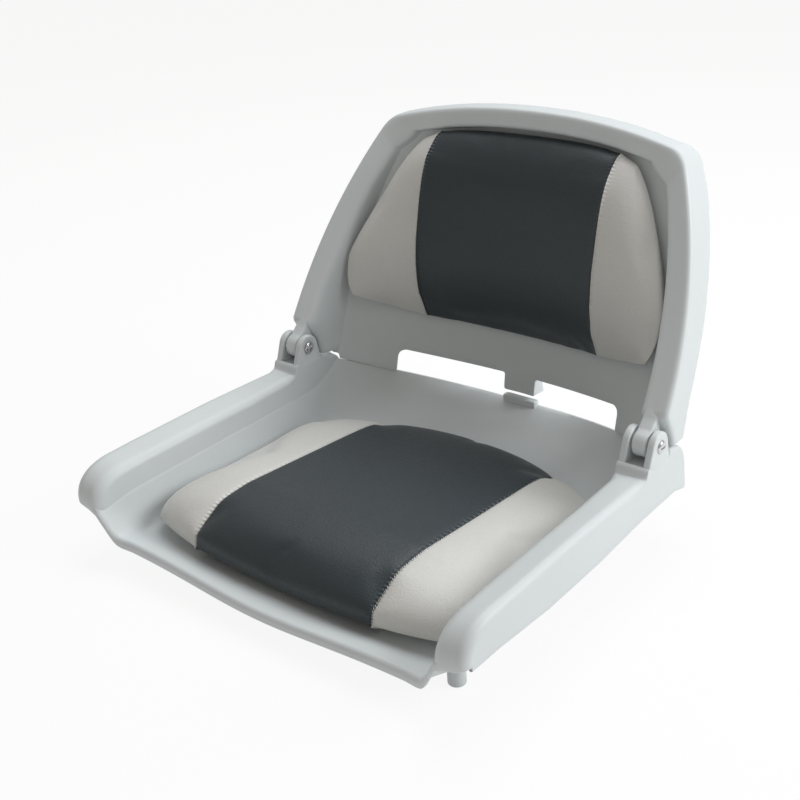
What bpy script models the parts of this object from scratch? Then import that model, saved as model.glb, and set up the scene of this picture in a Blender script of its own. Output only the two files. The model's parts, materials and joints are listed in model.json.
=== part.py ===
"""Folding boat seat: a moulded pan with arms, a back that folds down, and two sewn cushions.

Metres, +Z up, -Y is the front. The origin is the centre of the four mounting inserts, on the
flat underside that is bolted to a pedestal, a swivel or a deck.
"""

import math

import bmesh
import bpy
from mathutils import Matrix, Vector

# Common sizes
WALL = 0.0035           # moulded wall
GAP = 0.0003            # between pieces that touch
HALF_WIDTH = 0.250      # centre to the outer face of an arm

# Seat pan
FLOOR_Z = 0.020         # top of the pan floor
FLOOR_HALF = 0.188      # half width of the flat floor
PAN_HALF = 0.2143       # half width where the pan wall runs into the arm
PAN_WALL_RISE = 0.0455  # floor to the top of the pan wall
PAN_FLANGE = 0.0062     # the pan wall's top runs on this far inside the arm's wall
PAN_FLANGE_RISE = 0.0067
LIP_FLARE = 0.0147      # and the lip this far, under the arm's nose
LIP_Y = -0.191          # front edge of the pan
LIP_DEPTH = 0.009       # height of the turned-down front lip
LIP_TOP_Z = 0.033       # top of the front lip
LIP_DIP = 0.007         # how far the lip dips in the middle
LIP_DIP_HALF = 0.110    # half width of that dip
LIP_BOW = 0.004         # how far the lip bows forward in the middle
LIP_SIDE_RISE = 0.0137  # how far the lip climbs to PAN_HALF
FLOOR_FRONT_Y = -0.146  # the flat floor starts here
FLOOR_REAR_Y = 0.145    # on the centre line, the floor starts to climb to the rear rim here
FLOOR_REAR_EARLY = 0.030  # and this much earlier at the sides
REAR_Y = 0.252          # rear rim on the centre line
REAR_BOW = 1.8          # the rear rim and the back bow as REAR_Y - REAR_BOW x squared
RIM_Z = 0.050           # rear rim height on the centre line
RIM_SIDE_RISE = 0.043   # how much higher the rim is at RIM_SIDE_X
RIM_SIDE_X = 0.228
SKIRT_DEPTH = 0.030     # turned-down rear skirt
STOP_BUMP = (0.046, 0.010, 0.006)   # raised pad on the rear rim: width, depth, height

# Arms
ARM_WIDTH = 0.0355
ARM_INNER_WALL = 0.0075 # the arm's inner wall is thicker, where the pan joins it
ARM_NOSE_WALL = 0.008
ARM_FRONT_Y = -0.198
ARM_REAR_Y = 0.182
ARM_LOW_Z = 0.064       # lower edge of the arm at its nose
ARM_REAR_LOW_Z = 0.050  # and at its rear
ARM_LOW_LINE = ((0.158, 0.0545), (0.085, 0.0555), (0.011, 0.0525), (-0.074, 0.054), (-0.149, 0.061))
ARM_TOP_Z = 0.102       # top of the arm, at its outer side
ARM_TOP_FALL = 0.008    # how much lower the top is at its inner side
ARM_TOP_SLOPE = 0.004   # how much lower the top is where it meets the hinge
ARM_TOP_END_Y = 0.094   # the rounded top ends here, in front of the hinge
NOSE_LENGTH = 0.049     # the arm's front rounds off over this length
HEEL_LINE = ((-0.024, 0.0), (-0.012, -0.005), (-0.0045, -0.017))   # from ARM_REAR_Y and HEEL_Z
LEDGE_FRONT_Y = 0.107   # hinge ledge, between the ears
LEDGE_REAR_Y = 0.143
LEDGE_Z = 0.1020
HEEL_Z = 0.108          # block behind the ears, on which the back rests
ARM_EDGE = 0.008        # rounding of the arm's edges
CORE_LOW_Z = 0.034      # the hollow inside an arm is cut from down here

# Hinge
HINGE_Y = 0.125
HINGE_Z = 0.120
EAR_RADIUS = 0.015
EAR_BASE_FRONT_Y = 0.1014
EAR_BASE_REAR_Y = 0.1438
EAR_BASE_Z = 0.1002     # the ears start inside the ledge's wall
INNER_EAR = (0.2148, 0.2224)
WASHER_IN = (0.2227, 0.2241)
KNUCKLE = (0.2244, 0.2400)
WASHER_OUT = (0.2403, 0.2417)
OUTER_EAR = (0.2420, 0.2497)
KNUCKLE_RADIUS = 0.014
BARREL_RADIUS = 0.0040
BARREL_BORE = 0.0027
SCREW_RADIUS = 0.0024
PIN_HOLE = 0.0043
PIN_HOLE_ENDS = (0.205, 0.260)
PIN_HEAD_RADIUS = 0.0066
PIN_HEAD_HEIGHT = 0.0028
WASHER_RADIUS = 0.0095

# Underside and mounting
BOLT_HALF = 0.0635      # four M6 inserts on a 127 by 127 mm square
BOSS_RADIUS = 0.011
BOSS_TOP_Z = 0.0185
CENTRE_BOSS_RADIUS = 0.016
INSERT_RADIUS = 0.0045
INSERT_BORE = 0.0026
INSERT_LENGTH = 0.011
RIB_HALF = 0.078        # square rib frame round the inserts
RIB = 0.004
RIB_LOW_Z = 0.0006      # the ribs end just short of the mounting plane
RIB_STEP = 0.0004       # ribs that cross differ by this much in height
BRACE_LOW_Z = 0.005
FOOT_RADIUS = 0.0085
FEET = ((0.200, -0.146), (0.196, 0.112))

# Back shell
BACK_SLOPE = 0.169      # the panel leans back this much for each metre of height
BACK_LOW_Z = 0.087      # height at which the panel's centre is at REAR_Y
BACK_BOW_LOW = 1.8      # plan bow of the panel at its lower edge
BACK_BOW_HIGH = 0.5     # and at its top
BACK_TOP_Z = 0.385      # top of the back on the centre line
BACK_TOP_FALL = 0.0205  # how much lower the top is at TOP_HALF
TOP_HALF = 0.186        # half width at the top corners
WING_LOW_Z = 0.1095     # lower end of the wings, on the heel of the arm
WING_BEND_Z = 0.127     # the wings draw in above this
WING_DRAW_IN = 0.064    # by this much over WING_DRAW_HEIGHT
WING_DRAW_HEIGHT = 0.240
WING_Y = 0.135          # front of the wing at WING_Y_Z
WING_Y_Z = 0.147
WING_LEAN = 0.62
WING_FACE = 0.031       # width of the wing's front face
TOP_FACE = 0.022        # width of the band along the top
WING_DEPTH = 0.042      # how far the wing's side goes back
WING_HEEL_DEPTH = 0.012 # and how much more at its foot
TOP_DEPTH = 0.017
RIDGE_ROUND = 0.0075    # rounding of the rim's front edge
TOP_Y = 0.293           # front of the top band on the centre line
TOP_BOW = 0.022
CORNER_Z = 0.352        # the top corner starts here
CORNER_X = 0.174
NOTCH_HALF = 0.152      # the opening under the panel
NOTCH_Z = 0.084
NOTCH_RISE = 0.70
NOTCH_CORNER = 0.009
TAB_HALF = 0.021
TAB_LOW_Z = 0.064
TAB_DEPTH = 0.021
TAB_INSET = 0.0012      # its front sits this far inside the panel's wall
PANEL_CORNER = 0.945    # the panel's lower edge climbs over the heel from this share of its width
PANEL_CORNER_RISE = 0.0198
RELIEF_ENDS = (0.196, 0.262)
RELIEF_TOP_Z = 0.156    # top of the relief that the ears nest in
RELIEF_HALF = 0.028
RELIEF_LOW_Z = 0.090
LEG_TOP_Z = 0.185
LEG_SPARE = 0.0008      # trimmed off the knuckle again by the reliefs

# Cushions
VINYL = 0.0014
FOAM_INSET = 0.0052     # foam inside its cover, sideways
INSET_DOWN = 0.55       # share of an inset that is taken off the crown
SEAM_X = 0.116          # half width of the dark centre panel
SEAM_GAP = 0.0004
SEAT_BOARD = 0.009
BACK_BOARD = 0.004
BOARD_INSET = 0.006
SEAT_PAD_HALF = 0.2048
SEAT_PAD_BASE = 0.0008  # gap between the floor and the cushion
SEAT_PAD_FRONT_Y = -0.166
SEAT_PAD_FRONT_DRAW = 2.4   # the front is drawn in more than the sides, clear of the slope
SEAT_PAD_FRONT_CORNER = 0.16    # how much the front's corners are rounded off
SEAT_PAD_REAR_CORNER = 0.06
SEAT_PAD_REAR_Y = 0.165
SEAT_PAD_REAR_BOW = 1.4
SEAT_PAD_RIM = 0.014
SEAT_PAD_HEIGHT = 0.051
SEAT_PAD_FALL = 0.088   # the top falls by this much for each metre towards the rear
SEAT_PAD_FALL_Y = -0.080
SEAT_PAD_DRAW = 0.0105  # how far the sides are drawn in at the bottom
BACK_PAD_BASE = 0.0012  # gap between the bowed panel and the cushion
BACK_PAD_HALF = 0.206
BACK_PAD_TAPER = 0.054
BACK_PAD_TAPER_Z = 0.187
BACK_PAD_LOW_Z = 0.132
BACK_PAD_LOW_BOW = 0.80
BACK_PAD_TOP_Z = 0.358
BACK_PAD_TOP_BOW = 0.15
BACK_PAD_RIM = 0.008
BACK_PAD_SIDE_RIM = 0.013
BACK_PAD_CROWN = 0.043
BACK_PAD_DRAW = 0.007

# Cushion screws
PAD_SCREW_RADIUS = 0.0020
PAD_SCREW_HOLE = 0.0023
PAD_SCREW_HEAD = 0.0045
PAD_SCREW_HEAD_HEIGHT = 0.0025
BACK_PILOT = 0.0050     # depth of a pilot hole in front of the panel
SEAT_SCREWS = (0.120, 0.055)
BACK_SCREWS = (0.085, 0.175, 0.300)

# Mesh fineness
ROUND = 18
SMALL_ROUND = 12
PAD_COLUMNS = 14
PAD_ROWS = 10
BAND_SIDE = 9
BAND_CORNER = 4
BAND_TOP = 5

COLOURS = {
    "shell": ((0.72, 0.74, 0.75, 1.0), 0.45, 0.0),
    "light_vinyl": ((0.70, 0.70, 0.68, 1.0), 0.50, 0.0),
    "dark_vinyl": ((0.045, 0.060, 0.070, 1.0), 0.50, 0.0),
    "foam": ((0.85, 0.78, 0.55, 1.0), 0.90, 0.0),
    "board": ((0.55, 0.40, 0.24, 1.0), 0.80, 0.0),
    "steel": ((0.70, 0.70, 0.71, 1.0), 0.25, 1.0),
    "nylon": ((0.85, 0.85, 0.82, 1.0), 0.50, 0.0),
    "brass": ((0.75, 0.58, 0.28, 1.0), 0.35, 1.0),
}


def clear_scene():
    """Remove every object of the open scene."""
    for old in list(bpy.data.objects):
        bpy.data.objects.remove(old, do_unlink=True)


def new_collection(name, parent):
    """Make a collection inside another."""
    made = bpy.data.collections.new(name)
    parent.children.link(made)
    return made


def material(name, colour):
    """A Principled material for one piece."""
    base, roughness, metallic = COLOURS[colour]
    made = bpy.data.materials.new(name)
    made.use_nodes = True
    shader = made.node_tree.nodes["Principled BSDF"]
    shader.inputs["Base Color"].default_value = base
    shader.inputs["Roughness"].default_value = roughness
    shader.inputs["Metallic"].default_value = metallic
    return made


def add_mesh(name, bm, group, colour=None):
    """Turn a bmesh into an object of a collection, shaded smooth between soft edges."""
    mesh = bpy.data.meshes.new(name)
    bm.to_mesh(mesh)
    bm.free()
    mesh.shade_smooth()
    mesh.set_sharp_from_angle(angle=math.radians(35.0))
    made = bpy.data.objects.new(name, mesh)
    group.objects.link(made)
    if colour:
        mesh.materials.append(material(name, colour))
    else:
        made.hide_render = True
        made.display_type = "WIRE"
    return made


def grid_sheet(name, columns, rows, place, group, colour=None):
    """An open sheet: a grid whose corner (column, row) goes to place(column, row)."""
    bm = bmesh.new()
    bmesh.ops.create_grid(bm, x_segments=columns, y_segments=rows, size=0.5)
    for vert in bm.verts:
        column = round((vert.co.x + 0.5) * columns)
        row = round((vert.co.y + 0.5) * rows)
        vert.co = place(column, row)
    return add_mesh(name, bm, group, colour)


def thicken(sheet, thickness):
    """Give a sheet its wall, on the side away from its normals."""
    solidify = sheet.modifiers.new("Wall", "SOLIDIFY")
    solidify.thickness = thickness
    solidify.offset = -1.0
    solidify.use_even_offset = True


def combine(base, group, operation, solver="EXACT"):
    """Join the solids of a collection to an object, or cut them out of it."""
    boolean = base.modifiers.new(group.name, "BOOLEAN")
    boolean.operation = operation
    boolean.operand_type = "COLLECTION"
    boolean.collection = group
    boolean.solver = solver


def side_matrix(x):
    """Puts a flat outline drawn in (Y, Z) at one x."""
    return Matrix(((0, 0, 1, x), (1, 0, 0, 0), (0, 1, 0, 0), (0, 0, 0, 1)))


def front_matrix(y):
    """Puts a flat outline drawn in (X, Z) at one y."""
    return Matrix(((1, 0, 0, 0), (0, 0, -1, y), (0, 1, 0, 0), (0, 0, 0, 1)))


def plate(name, outline, thickness, matrix, group, reshape=None, rounded=None):
    """A flat outline with a thickness, centred on its plane. reshape moves its corners, and
    rounded is (radius, test of the outline's edges to round)."""
    curve = bpy.data.curves.new(name, "CURVE")
    curve.dimensions = "2D"
    curve.fill_mode = "BOTH"
    curve.extrude = thickness / 2
    spline = curve.splines.new("POLY")
    spline.points.add(len(outline) - 1)
    for point, (a, b) in zip(spline.points, outline):
        point.co = (a, b, 0.0, 1.0)
    spline.use_cyclic_u = True
    drawn = bpy.data.objects.new(name + "_outline", curve)
    bpy.context.scene.collection.objects.link(drawn)
    bpy.context.view_layer.update()
    evaluated = drawn.evaluated_get(bpy.context.evaluated_depsgraph_get())
    mesh = bpy.data.meshes.new_from_object(evaluated)
    bm = bmesh.new()
    bm.from_mesh(mesh)
    bmesh.ops.remove_doubles(bm, verts=bm.verts, dist=1e-6)
    bm.transform(matrix)
    bmesh.ops.recalc_face_normals(bm, faces=bm.faces)
    bmesh.ops.dissolve_limit(bm, angle_limit=1e-3, verts=bm.verts, edges=bm.edges)
    if reshape:
        for vert in bm.verts:
            vert.co = reshape(vert.co)
    bm.normal_update()
    if rounded:
        radius, chosen = rounded
        edges = [edge for edge in bm.edges if chosen(edge)]
        bmesh.ops.bevel(bm, geom=edges, offset=radius, segments=3, profile=0.5, affect="EDGES")
    bpy.data.objects.remove(drawn)
    bpy.data.curves.remove(curve)
    bpy.data.meshes.remove(mesh)
    return add_mesh(name, bm, group)


def cylinder(name, radius, start, end, group, segments=ROUND):
    """A closed cylinder between two points."""
    axis = Vector(end) - Vector(start)
    bm = bmesh.new()
    bmesh.ops.create_cone(
        bm, cap_ends=True, segments=segments, radius1=radius, radius2=radius, depth=axis.length
    )
    turn = axis.to_track_quat("Z", "Y").to_matrix().to_4x4()
    middle = (Vector(start) + Vector(end)) / 2
    bm.transform(Matrix.Translation(middle) @ turn)
    return add_mesh(name, bm, group)


def block(name, low, high, group):
    """A box between two corners."""
    size = Vector(high) - Vector(low)
    bm = bmesh.new()
    bmesh.ops.create_cube(bm, size=1.0)
    bm.transform(Matrix.Translation((Vector(low) + Vector(high)) / 2) @ Matrix.Diagonal(size.to_4d()))
    return add_mesh(name, bm, group)


def turned(name, profile, steps, matrix, group, colour):
    """A turned piece: profile (radius, height) from top to bottom, spun about its own Z."""
    mesh = bpy.data.meshes.new(name)
    points = [(radius, 0.0, height) for radius, height in profile]
    closed = profile[0][0] > 0
    edges = [(i, i + 1) for i in range(len(points) - 1)]
    if closed:
        edges.append((len(points) - 1, 0))
    mesh.from_pydata(points, edges, [])
    mesh.materials.append(material(name, colour))
    made = bpy.data.objects.new(name, mesh)
    made.matrix_world = matrix
    group.objects.link(made)
    screw = made.modifiers.new("Turn", "SCREW")
    screw.axis = "Z"
    screw.steps = steps
    screw.render_steps = steps
    screw.use_merge_vertices = True
    screw.merge_threshold = 1e-5
    screw.use_smooth_shade = True
    return made


def pan_wall(x):
    """Rise of the pan above its floor: up to the arm, and flattening inside the arm's wall."""
    outside = max(0.0, abs(x) - FLOOR_HALF) / (PAN_HALF - FLOOR_HALF)
    beyond = min(1.0, max(0.0, abs(x) - PAN_HALF) / PAN_FLANGE)
    return PAN_WALL_RISE * min(1.0, outside) ** 4 + PAN_FLANGE_RISE * (1 - (1 - beyond) ** 2.5)


def lip_top(x):
    """Height of the front lip's upper edge: it dips in the middle and climbs to the arms."""
    outside = max(0.0, abs(x) - FLOOR_HALF) / (PAN_HALF - FLOOR_HALF)
    return LIP_TOP_Z - LIP_DIP * math.exp(-((x / LIP_DIP_HALF) ** 2)) + LIP_SIDE_RISE * outside ** 2


def rim_top(x):
    """Height of the rear rim, which climbs round to the hinges."""
    return RIM_Z + RIM_SIDE_RISE * (abs(x) / RIM_SIDE_X) ** 1.8


def rear_y(x):
    """Where the rear rim runs in plan."""
    return REAR_Y - REAR_BOW * x * x


# Columns of the pan from the centre line out, then shares of the flange beyond PAN_HALF
PAN_X = (0.0, 0.040, 0.080, 0.118, 0.152, 0.178, 0.194, 0.204, 0.2095, 0.2125, PAN_HALF)
FLANGE_SHARES = (0.2, 0.5, 1.0)
# Rows across the pan: the lip, the slope behind it, the floor, the climb and the rear rim
LIP_ROWS = ((0.0, -LIP_DEPTH), (0.0, -0.005), (0.0015, -0.0015), (0.005, 0.0))
FRONT_SLOPE = ((-0.172, 0.55), (-0.157, 0.12))
FLOOR_STEPS = 3
CLIMB_STEPS = 5
RIM_ROWS = ((0.003, -0.0007), (0.0056, -0.0030), (0.0068, -0.0068), (0.007, -SKIRT_DEPTH))


def floor_rear_y(x):
    """Where the floor starts to climb to the rear rim."""
    return FLOOR_REAR_Y - FLOOR_REAR_EARLY * (min(abs(x), PAN_HALF) / PAN_HALF) ** 4


def pan_rows():
    """The pan's rows from the lip to the skirt: (reach of the flange, function of x that
    gives (y, z))."""
    rows = []
    for back, up in LIP_ROWS:
        rows.append((LIP_FLARE, lambda x, back=back, up=up: (
            LIP_Y - LIP_BOW * math.exp(-((x / LIP_DIP_HALF) ** 2)) + back, lip_top(x) + up)))
    for y, share in FRONT_SLOPE:
        flare = PAN_FLANGE + (LIP_FLARE - PAN_FLANGE) * share
        rows.append((flare, lambda x, y=y, share=share: (
            y, share * lip_top(x) + (1 - share) * (FLOOR_Z + pan_wall(x)))))
    for i in range(FLOOR_STEPS + 1):
        share = i / FLOOR_STEPS
        rows.append((PAN_FLANGE, lambda x, share=share: (
            FLOOR_FRONT_Y + share * (floor_rear_y(x) - FLOOR_FRONT_Y), FLOOR_Z + pan_wall(x))))
    for i in range(1, CLIMB_STEPS + 1):
        share = i / CLIMB_STEPS
        rows.append((PAN_FLANGE, lambda x, share=share: (
            floor_rear_y(x) + share * (rear_y(x) - floor_rear_y(x)),
            FLOOR_Z + pan_wall(x) + share ** 1.8 * (rim_top(x) - FLOOR_Z - pan_wall(x)))))
    for back, up in RIM_ROWS:
        rows.append((PAN_FLANGE, lambda x, back=back, up=up: (rear_y(x) + back, rim_top(x) + up)))
    return rows


def make_pan(group):
    """The pan: lip, floor, side walls, rear rim and skirt in one moulded wall."""
    rows = pan_rows()
    half = len(PAN_X) + len(FLANGE_SHARES) - 1

    def place(column, row):
        index = abs(column - half)
        flange, at = rows[row]
        if index < len(PAN_X):
            x = PAN_X[index]
        else:
            x = PAN_HALF + flange * FLANGE_SHARES[index - len(PAN_X)]
        x = math.copysign(x, column - half)
        y, z = at(x)
        return Vector((x, y, z))

    pan = grid_sheet("seat_shell", 2 * half, len(rows) - 1, place, group, "shell")
    thicken(pan, WALL)
    return pan


def arm_top(inset, nose_inset):
    """Side view (Y, Z) of the top of an arm, from its nose to the rear of the hinge ledge."""
    top = ARM_TOP_Z - inset
    points = []
    for i in range(7):
        angle = math.radians(90.0 * i / 6)
        points.append((
            ARM_FRONT_Y + NOSE_LENGTH - (NOSE_LENGTH - nose_inset) * math.cos(angle),
            ARM_LOW_Z + (top - ARM_LOW_Z) * math.sin(angle)))
    points += [
        (ARM_TOP_END_Y, top - ARM_TOP_SLOPE),
        (LEDGE_FRONT_Y, LEDGE_Z - inset),
        (LEDGE_REAR_Y, LEDGE_Z - inset),
    ]
    return points


def arm_outline():
    """Side view (Y, Z) of an arm."""
    outline = arm_top(0.0, 0.0)
    outline.append((LEDGE_REAR_Y, HEEL_Z))
    for back, down in HEEL_LINE:
        outline.append((ARM_REAR_Y + back, HEEL_Z + down))
    outline.append((ARM_REAR_Y, ARM_REAR_LOW_Z))
    outline.extend(ARM_LOW_LINE)
    return outline


def core_outline():
    """Side view (Y, Z) of the hollow inside an arm."""
    return arm_top(WALL, ARM_NOSE_WALL) + [
        (ARM_REAR_Y - WALL - 0.004, HEEL_Z - 0.012),
        (ARM_REAR_Y - WALL, CORE_LOW_Z),
        (ARM_FRONT_Y + ARM_NOSE_WALL, CORE_LOW_Z),
    ]


def arm_fall(inner, outer):
    """Moves the top of an arm down towards its inner side, in front of the hinge."""
    def reshape(co):
        across = (outer - abs(co.x)) / (outer - inner)
        height = max(0.0, co.z - ARM_LOW_Z) / (ARM_TOP_Z - ARM_LOW_Z)
        if co.y > ARM_TOP_END_Y + 0.006:
            return co
        return Vector((co.x, co.y, co.z - ARM_TOP_FALL * across * min(1.0, height)))
    return reshape


def ear_outline(radius, front_y, rear_y_low, base_z, centre_z=HINGE_Z):
    """A tapered ear (Y, Z): two straight flanks that meet a round top."""
    points = [(rear_y_low, base_z)]
    angles = []
    for y, sign in ((rear_y_low, 1.0), (front_y, -1.0)):
        dy = y - HINGE_Y
        dz = base_z - centre_z
        reach = math.hypot(dy, dz)
        angles.append(math.atan2(dz, dy) + sign * math.acos(radius / reach))
    start, end = angles[0], angles[1]
    if end < start:
        end += 2 * math.pi
    steps = 10
    for i in range(steps + 1):
        angle = start + (end - start) * i / steps
        points.append((HINGE_Y + radius * math.cos(angle), centre_z + radius * math.sin(angle)))
    points.append((front_y, base_z))
    return points


def make_arm(side, solids, cuts, helpers):
    """One hollow arm with the two ears of its hinge, as solids to join and to cut."""
    tag = "right" if side > 0 else "left"
    outer = HALF_WIDTH
    inner = HALF_WIDTH - ARM_WIDTH

    def on_top(edge):
        a, b = (vert.co for vert in edge.verts)
        lengthwise = abs(a.x - b.x) < 0.001
        return lengthwise and max(a.y, b.y) < ARM_TOP_END_Y + 0.001 and a.z + b.z > 2 * ARM_LOW_Z + 0.004

    arm = plate("arm_" + tag, arm_outline(), ARM_WIDTH, side_matrix(side * (outer + inner) / 2),
                solids, arm_fall(inner, outer), (ARM_EDGE, on_top))
    hollow = new_collection("arm_hollow_" + tag, helpers)
    near = inner + ARM_INNER_WALL
    far = outer - WALL
    plate("arm_core_" + tag, core_outline(), far - near, side_matrix(side * (near + far) / 2),
          hollow, arm_fall(inner, outer))
    combine(arm, hollow, "DIFFERENCE")
    outline = ear_outline(EAR_RADIUS, EAR_BASE_FRONT_Y, EAR_BASE_REAR_Y, EAR_BASE_Z)
    for name, (low, high) in (("inner", INNER_EAR), ("outer", OUTER_EAR)):
        middle = side_matrix(side * (low + high) / 2)
        plate(name + "_ear_" + tag, outline, high - low, middle, solids)
    pin_hole("pin_hole_" + tag, side, cuts)


def pin_hole(name, side, group):
    """Cutter for the hole that one hinge's barrel goes through."""
    near, far = PIN_HOLE_ENDS
    cylinder(name, PIN_HOLE, (side * near, HINGE_Y, HINGE_Z), (side * far, HINGE_Y, HINGE_Z), group)


def make_underside(solids, cuts):
    """Bosses, feet and ribs under the pan; all of them end on the mounting plane."""
    cylinder("centre_boss", CENTRE_BOSS_RADIUS, (0, 0, 0), (0, 0, BOSS_TOP_Z), solids)
    half = RIB / 2
    ribs = (
        ("front", -RIB_HALF - 0.003, RIB_HALF + 0.003, -RIB_HALF, True),
        ("rear", -RIB_HALF - 0.003, RIB_HALF + 0.003, RIB_HALF, True),
        ("across", -RIB_HALF, RIB_HALF, 0.0, True),
        ("left", -RIB_HALF, RIB_HALF, -RIB_HALF, False),
        ("right", -RIB_HALF, RIB_HALF, RIB_HALF, False),
        ("along", -RIB_HALF, RIB_HALF, 0.0, False),
    )
    for name, start, end, at, runs_x in ribs:
        if runs_x:
            low = (start, at - half, RIB_LOW_Z)
            high = (end, at + half, BOSS_TOP_Z - RIB_STEP)
        else:
            low = (at - half, start, RIB_LOW_Z + RIB_STEP)
            high = (at + half, end, BOSS_TOP_Z - 2 * RIB_STEP)
        block("rib_" + name, low, high, solids)
    for sx in (-1, 1):
        for sy in (-1, 1):
            at = (sx * BOLT_HALF, sy * BOLT_HALF)
            cylinder(f"boss_{sx}_{sy}", BOSS_RADIUS, (*at, 0), (*at, BOSS_TOP_Z), solids)
            cylinder(f"insert_bore_{sx}_{sy}", INSERT_RADIUS + GAP, (*at, -0.005),
                     (*at, INSERT_LENGTH + 0.002), cuts, SMALL_ROUND + 2)
            cylinder(f"seat_screw_hole_{sx}_{sy}", PAD_SCREW_HOLE,
                     (sx * SEAT_SCREWS[0], sy * SEAT_SCREWS[1], 0.010),
                     (sx * SEAT_SCREWS[0], sy * SEAT_SCREWS[1], 0.026), cuts, SMALL_ROUND)
        for x, y in FEET:
            cylinder(f"foot_{sx}_{y:.2f}", FOOT_RADIUS, (sx * x, y, 0), (sx * x, y, BOSS_TOP_Z), solids)
            corner = Vector((sx * RIB_HALF, math.copysign(RIB_HALF, y), 0))
            brace = Vector((sx * x, y, 0)) - corner
            across = Vector((-brace.y, brace.x, 0)).normalized() * RIB * 0.375
            ends = [corner - across, corner + brace - across, corner + brace + across, corner + across]
            plate(f"brace_{sx}_{y:.2f}", [(p.x, p.y) for p in ends], BOSS_TOP_Z - BRACE_LOW_Z,
                  Matrix.Translation((0, 0, (BOSS_TOP_Z + BRACE_LOW_Z) / 2)), solids)


def make_seat_shell(group, helpers):
    """The moulded seat shell: pan, arms, ears, ribs and bosses in one piece."""
    solids = new_collection("seat_shell_solids", helpers)
    cuts = new_collection("seat_shell_cuts", helpers)
    shell = make_pan(group)
    for side in (-1, 1):
        make_arm(side, solids, cuts, helpers)
    make_underside(solids, cuts)
    width, depth, height = STOP_BUMP
    block("stop_bump", (-width / 2, REAR_Y - depth * 0.6, RIM_Z - 0.003),
          (width / 2, REAR_Y + depth * 0.4, RIM_Z + height), solids)
    combine(shell, solids, "UNION", "MANIFOLD")
    combine(shell, cuts, "DIFFERENCE", "MANIFOLD")


def panel_y(x, z):
    """Front surface of the back panel: it leans back, and bows less towards the top."""
    share = (z - BACK_LOW_Z) / (BACK_TOP_Z - BACK_LOW_Z)
    bow = BACK_BOW_LOW + (BACK_BOW_HIGH - BACK_BOW_LOW) * share
    return REAR_Y + BACK_SLOPE * (z - BACK_LOW_Z) - bow * x * x


def wing_x(z):
    """Outer side of a wing, drawn in towards the top."""
    return HALF_WIDTH - WING_DRAW_IN * (max(0.0, z - WING_BEND_Z) / WING_DRAW_HEIGHT) ** 2.2


def back_top(x):
    """Height of the top edge of the back."""
    return BACK_TOP_Z - BACK_TOP_FALL * (abs(x) / TOP_HALF) ** 2.2


def bend(a, corner, b, t):
    """A quadratic curve from a to b that leans towards a corner."""
    return tuple((1 - t) ** 2 * p + 2 * t * (1 - t) * q + t * t * r for p, q, r in zip(a, corner, b))


def band_outline(step, inset_side, inset_top):
    """Front view (X, Z) of the right half of the back's rim: up the wing and over the top."""
    side_end = CORNER_Z - 0.7 * inset_side
    top_start = CORNER_X - 0.7 * inset_side
    if step <= BAND_SIDE:
        z = WING_LOW_Z + (side_end - WING_LOW_Z) * step / BAND_SIDE
        return wing_x(z) - inset_side, z
    if step < BAND_SIDE + BAND_CORNER:
        t = (step - BAND_SIDE) / BAND_CORNER
        apex = (TOP_HALF + 0.001 - inset_side, back_top(TOP_HALF) - inset_top)
        side = (wing_x(side_end) - inset_side, side_end)
        return bend(side, apex, (top_start, back_top(top_start) - inset_top), t)
    share = 1 - (step - BAND_SIDE - BAND_CORNER) / BAND_TOP
    x = top_start * share
    return x, back_top(x) - inset_top


def band_front(x, z):
    """How far back the rim's front face is: the wings lean, and the top bows."""
    side = WING_Y + WING_LEAN * (z - WING_Y_Z)
    top = TOP_Y - TOP_BOW * (abs(x) / TOP_HALF) ** 4
    return min(side, top)


def band_depth(step, z):
    """Depth of the rim's side: deepest at the foot of the wing, shallow along the top."""
    side = WING_DEPTH + WING_HEEL_DEPTH * math.exp(-(z - WING_LOW_Z) / 0.040)
    along = min(1.0, max(0.0, (step - BAND_SIDE + 2) / (BAND_CORNER + 2)))
    return side + (TOP_DEPTH - side) * along


# Rows across the rim, from its foot in the panel to the rear edge of its side. Each is
# (share of the face width inwards, share of the wall, ridge roundings inwards and back,
# share of the depth).
BAND_ROWS = (
    (1.26, 1.00, 0.00, 0.00, 0.0),
    (1.16, 0.86, 0.00, 0.00, 0.0),
    (1.08, 0.55, 0.00, 0.00, 0.0),
    (1.01, 0.14, 0.00, 0.00, 0.0),
    (0.86, 0.00, 0.00, 0.00, 0.0),
    (0.55, 0.00, 0.00, 0.00, 0.0),
    (0.00, 0.00, 1.00, 0.00, 0.0),
    (0.00, 0.00, 0.29, 0.29, 0.0),
    (0.00, 0.00, 0.00, 1.00, 0.0),
    (0.00, 0.00, 0.00, 0.00, 0.62),
    (0.00, 0.00, 0.00, 0.00, 1.0),
)


def make_band(group):
    """The raised rim of the back: both wings and the top in one moulded channel."""
    half = BAND_SIDE + BAND_CORNER + BAND_TOP

    def place(column, row):
        step = min(column, 2 * half - column)
        sign = -1.0 if column < half else 1.0
        inward, wall, edge_in, edge_back, deep = BAND_ROWS[row]
        outer = Vector(band_outline(step, 0.0, 0.0))
        face = Vector(band_outline(step, WING_FACE, TOP_FACE)) - outer
        x, z = outer + face * inward + face.normalized() * edge_in * RIDGE_ROUND
        front = band_front(*outer)
        foot = panel_y(x, z) + WALL * 1.2
        y = front + wall * (foot - front) + edge_back * RIDGE_ROUND + deep * band_depth(step, outer[1])
        return Vector((sign * x, y, z))

    band = grid_sheet("band", 2 * half, len(BAND_ROWS) - 1, place, group)
    thicken(band, WALL)


PANEL_X = (0.0, 0.17, 0.34, 0.51, 0.68, 0.83, 0.945, 1.0)
PANEL_ROWS = 12
PANEL_LOW_HALF = 0.2195     # half width of the panel's lower edge


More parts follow.
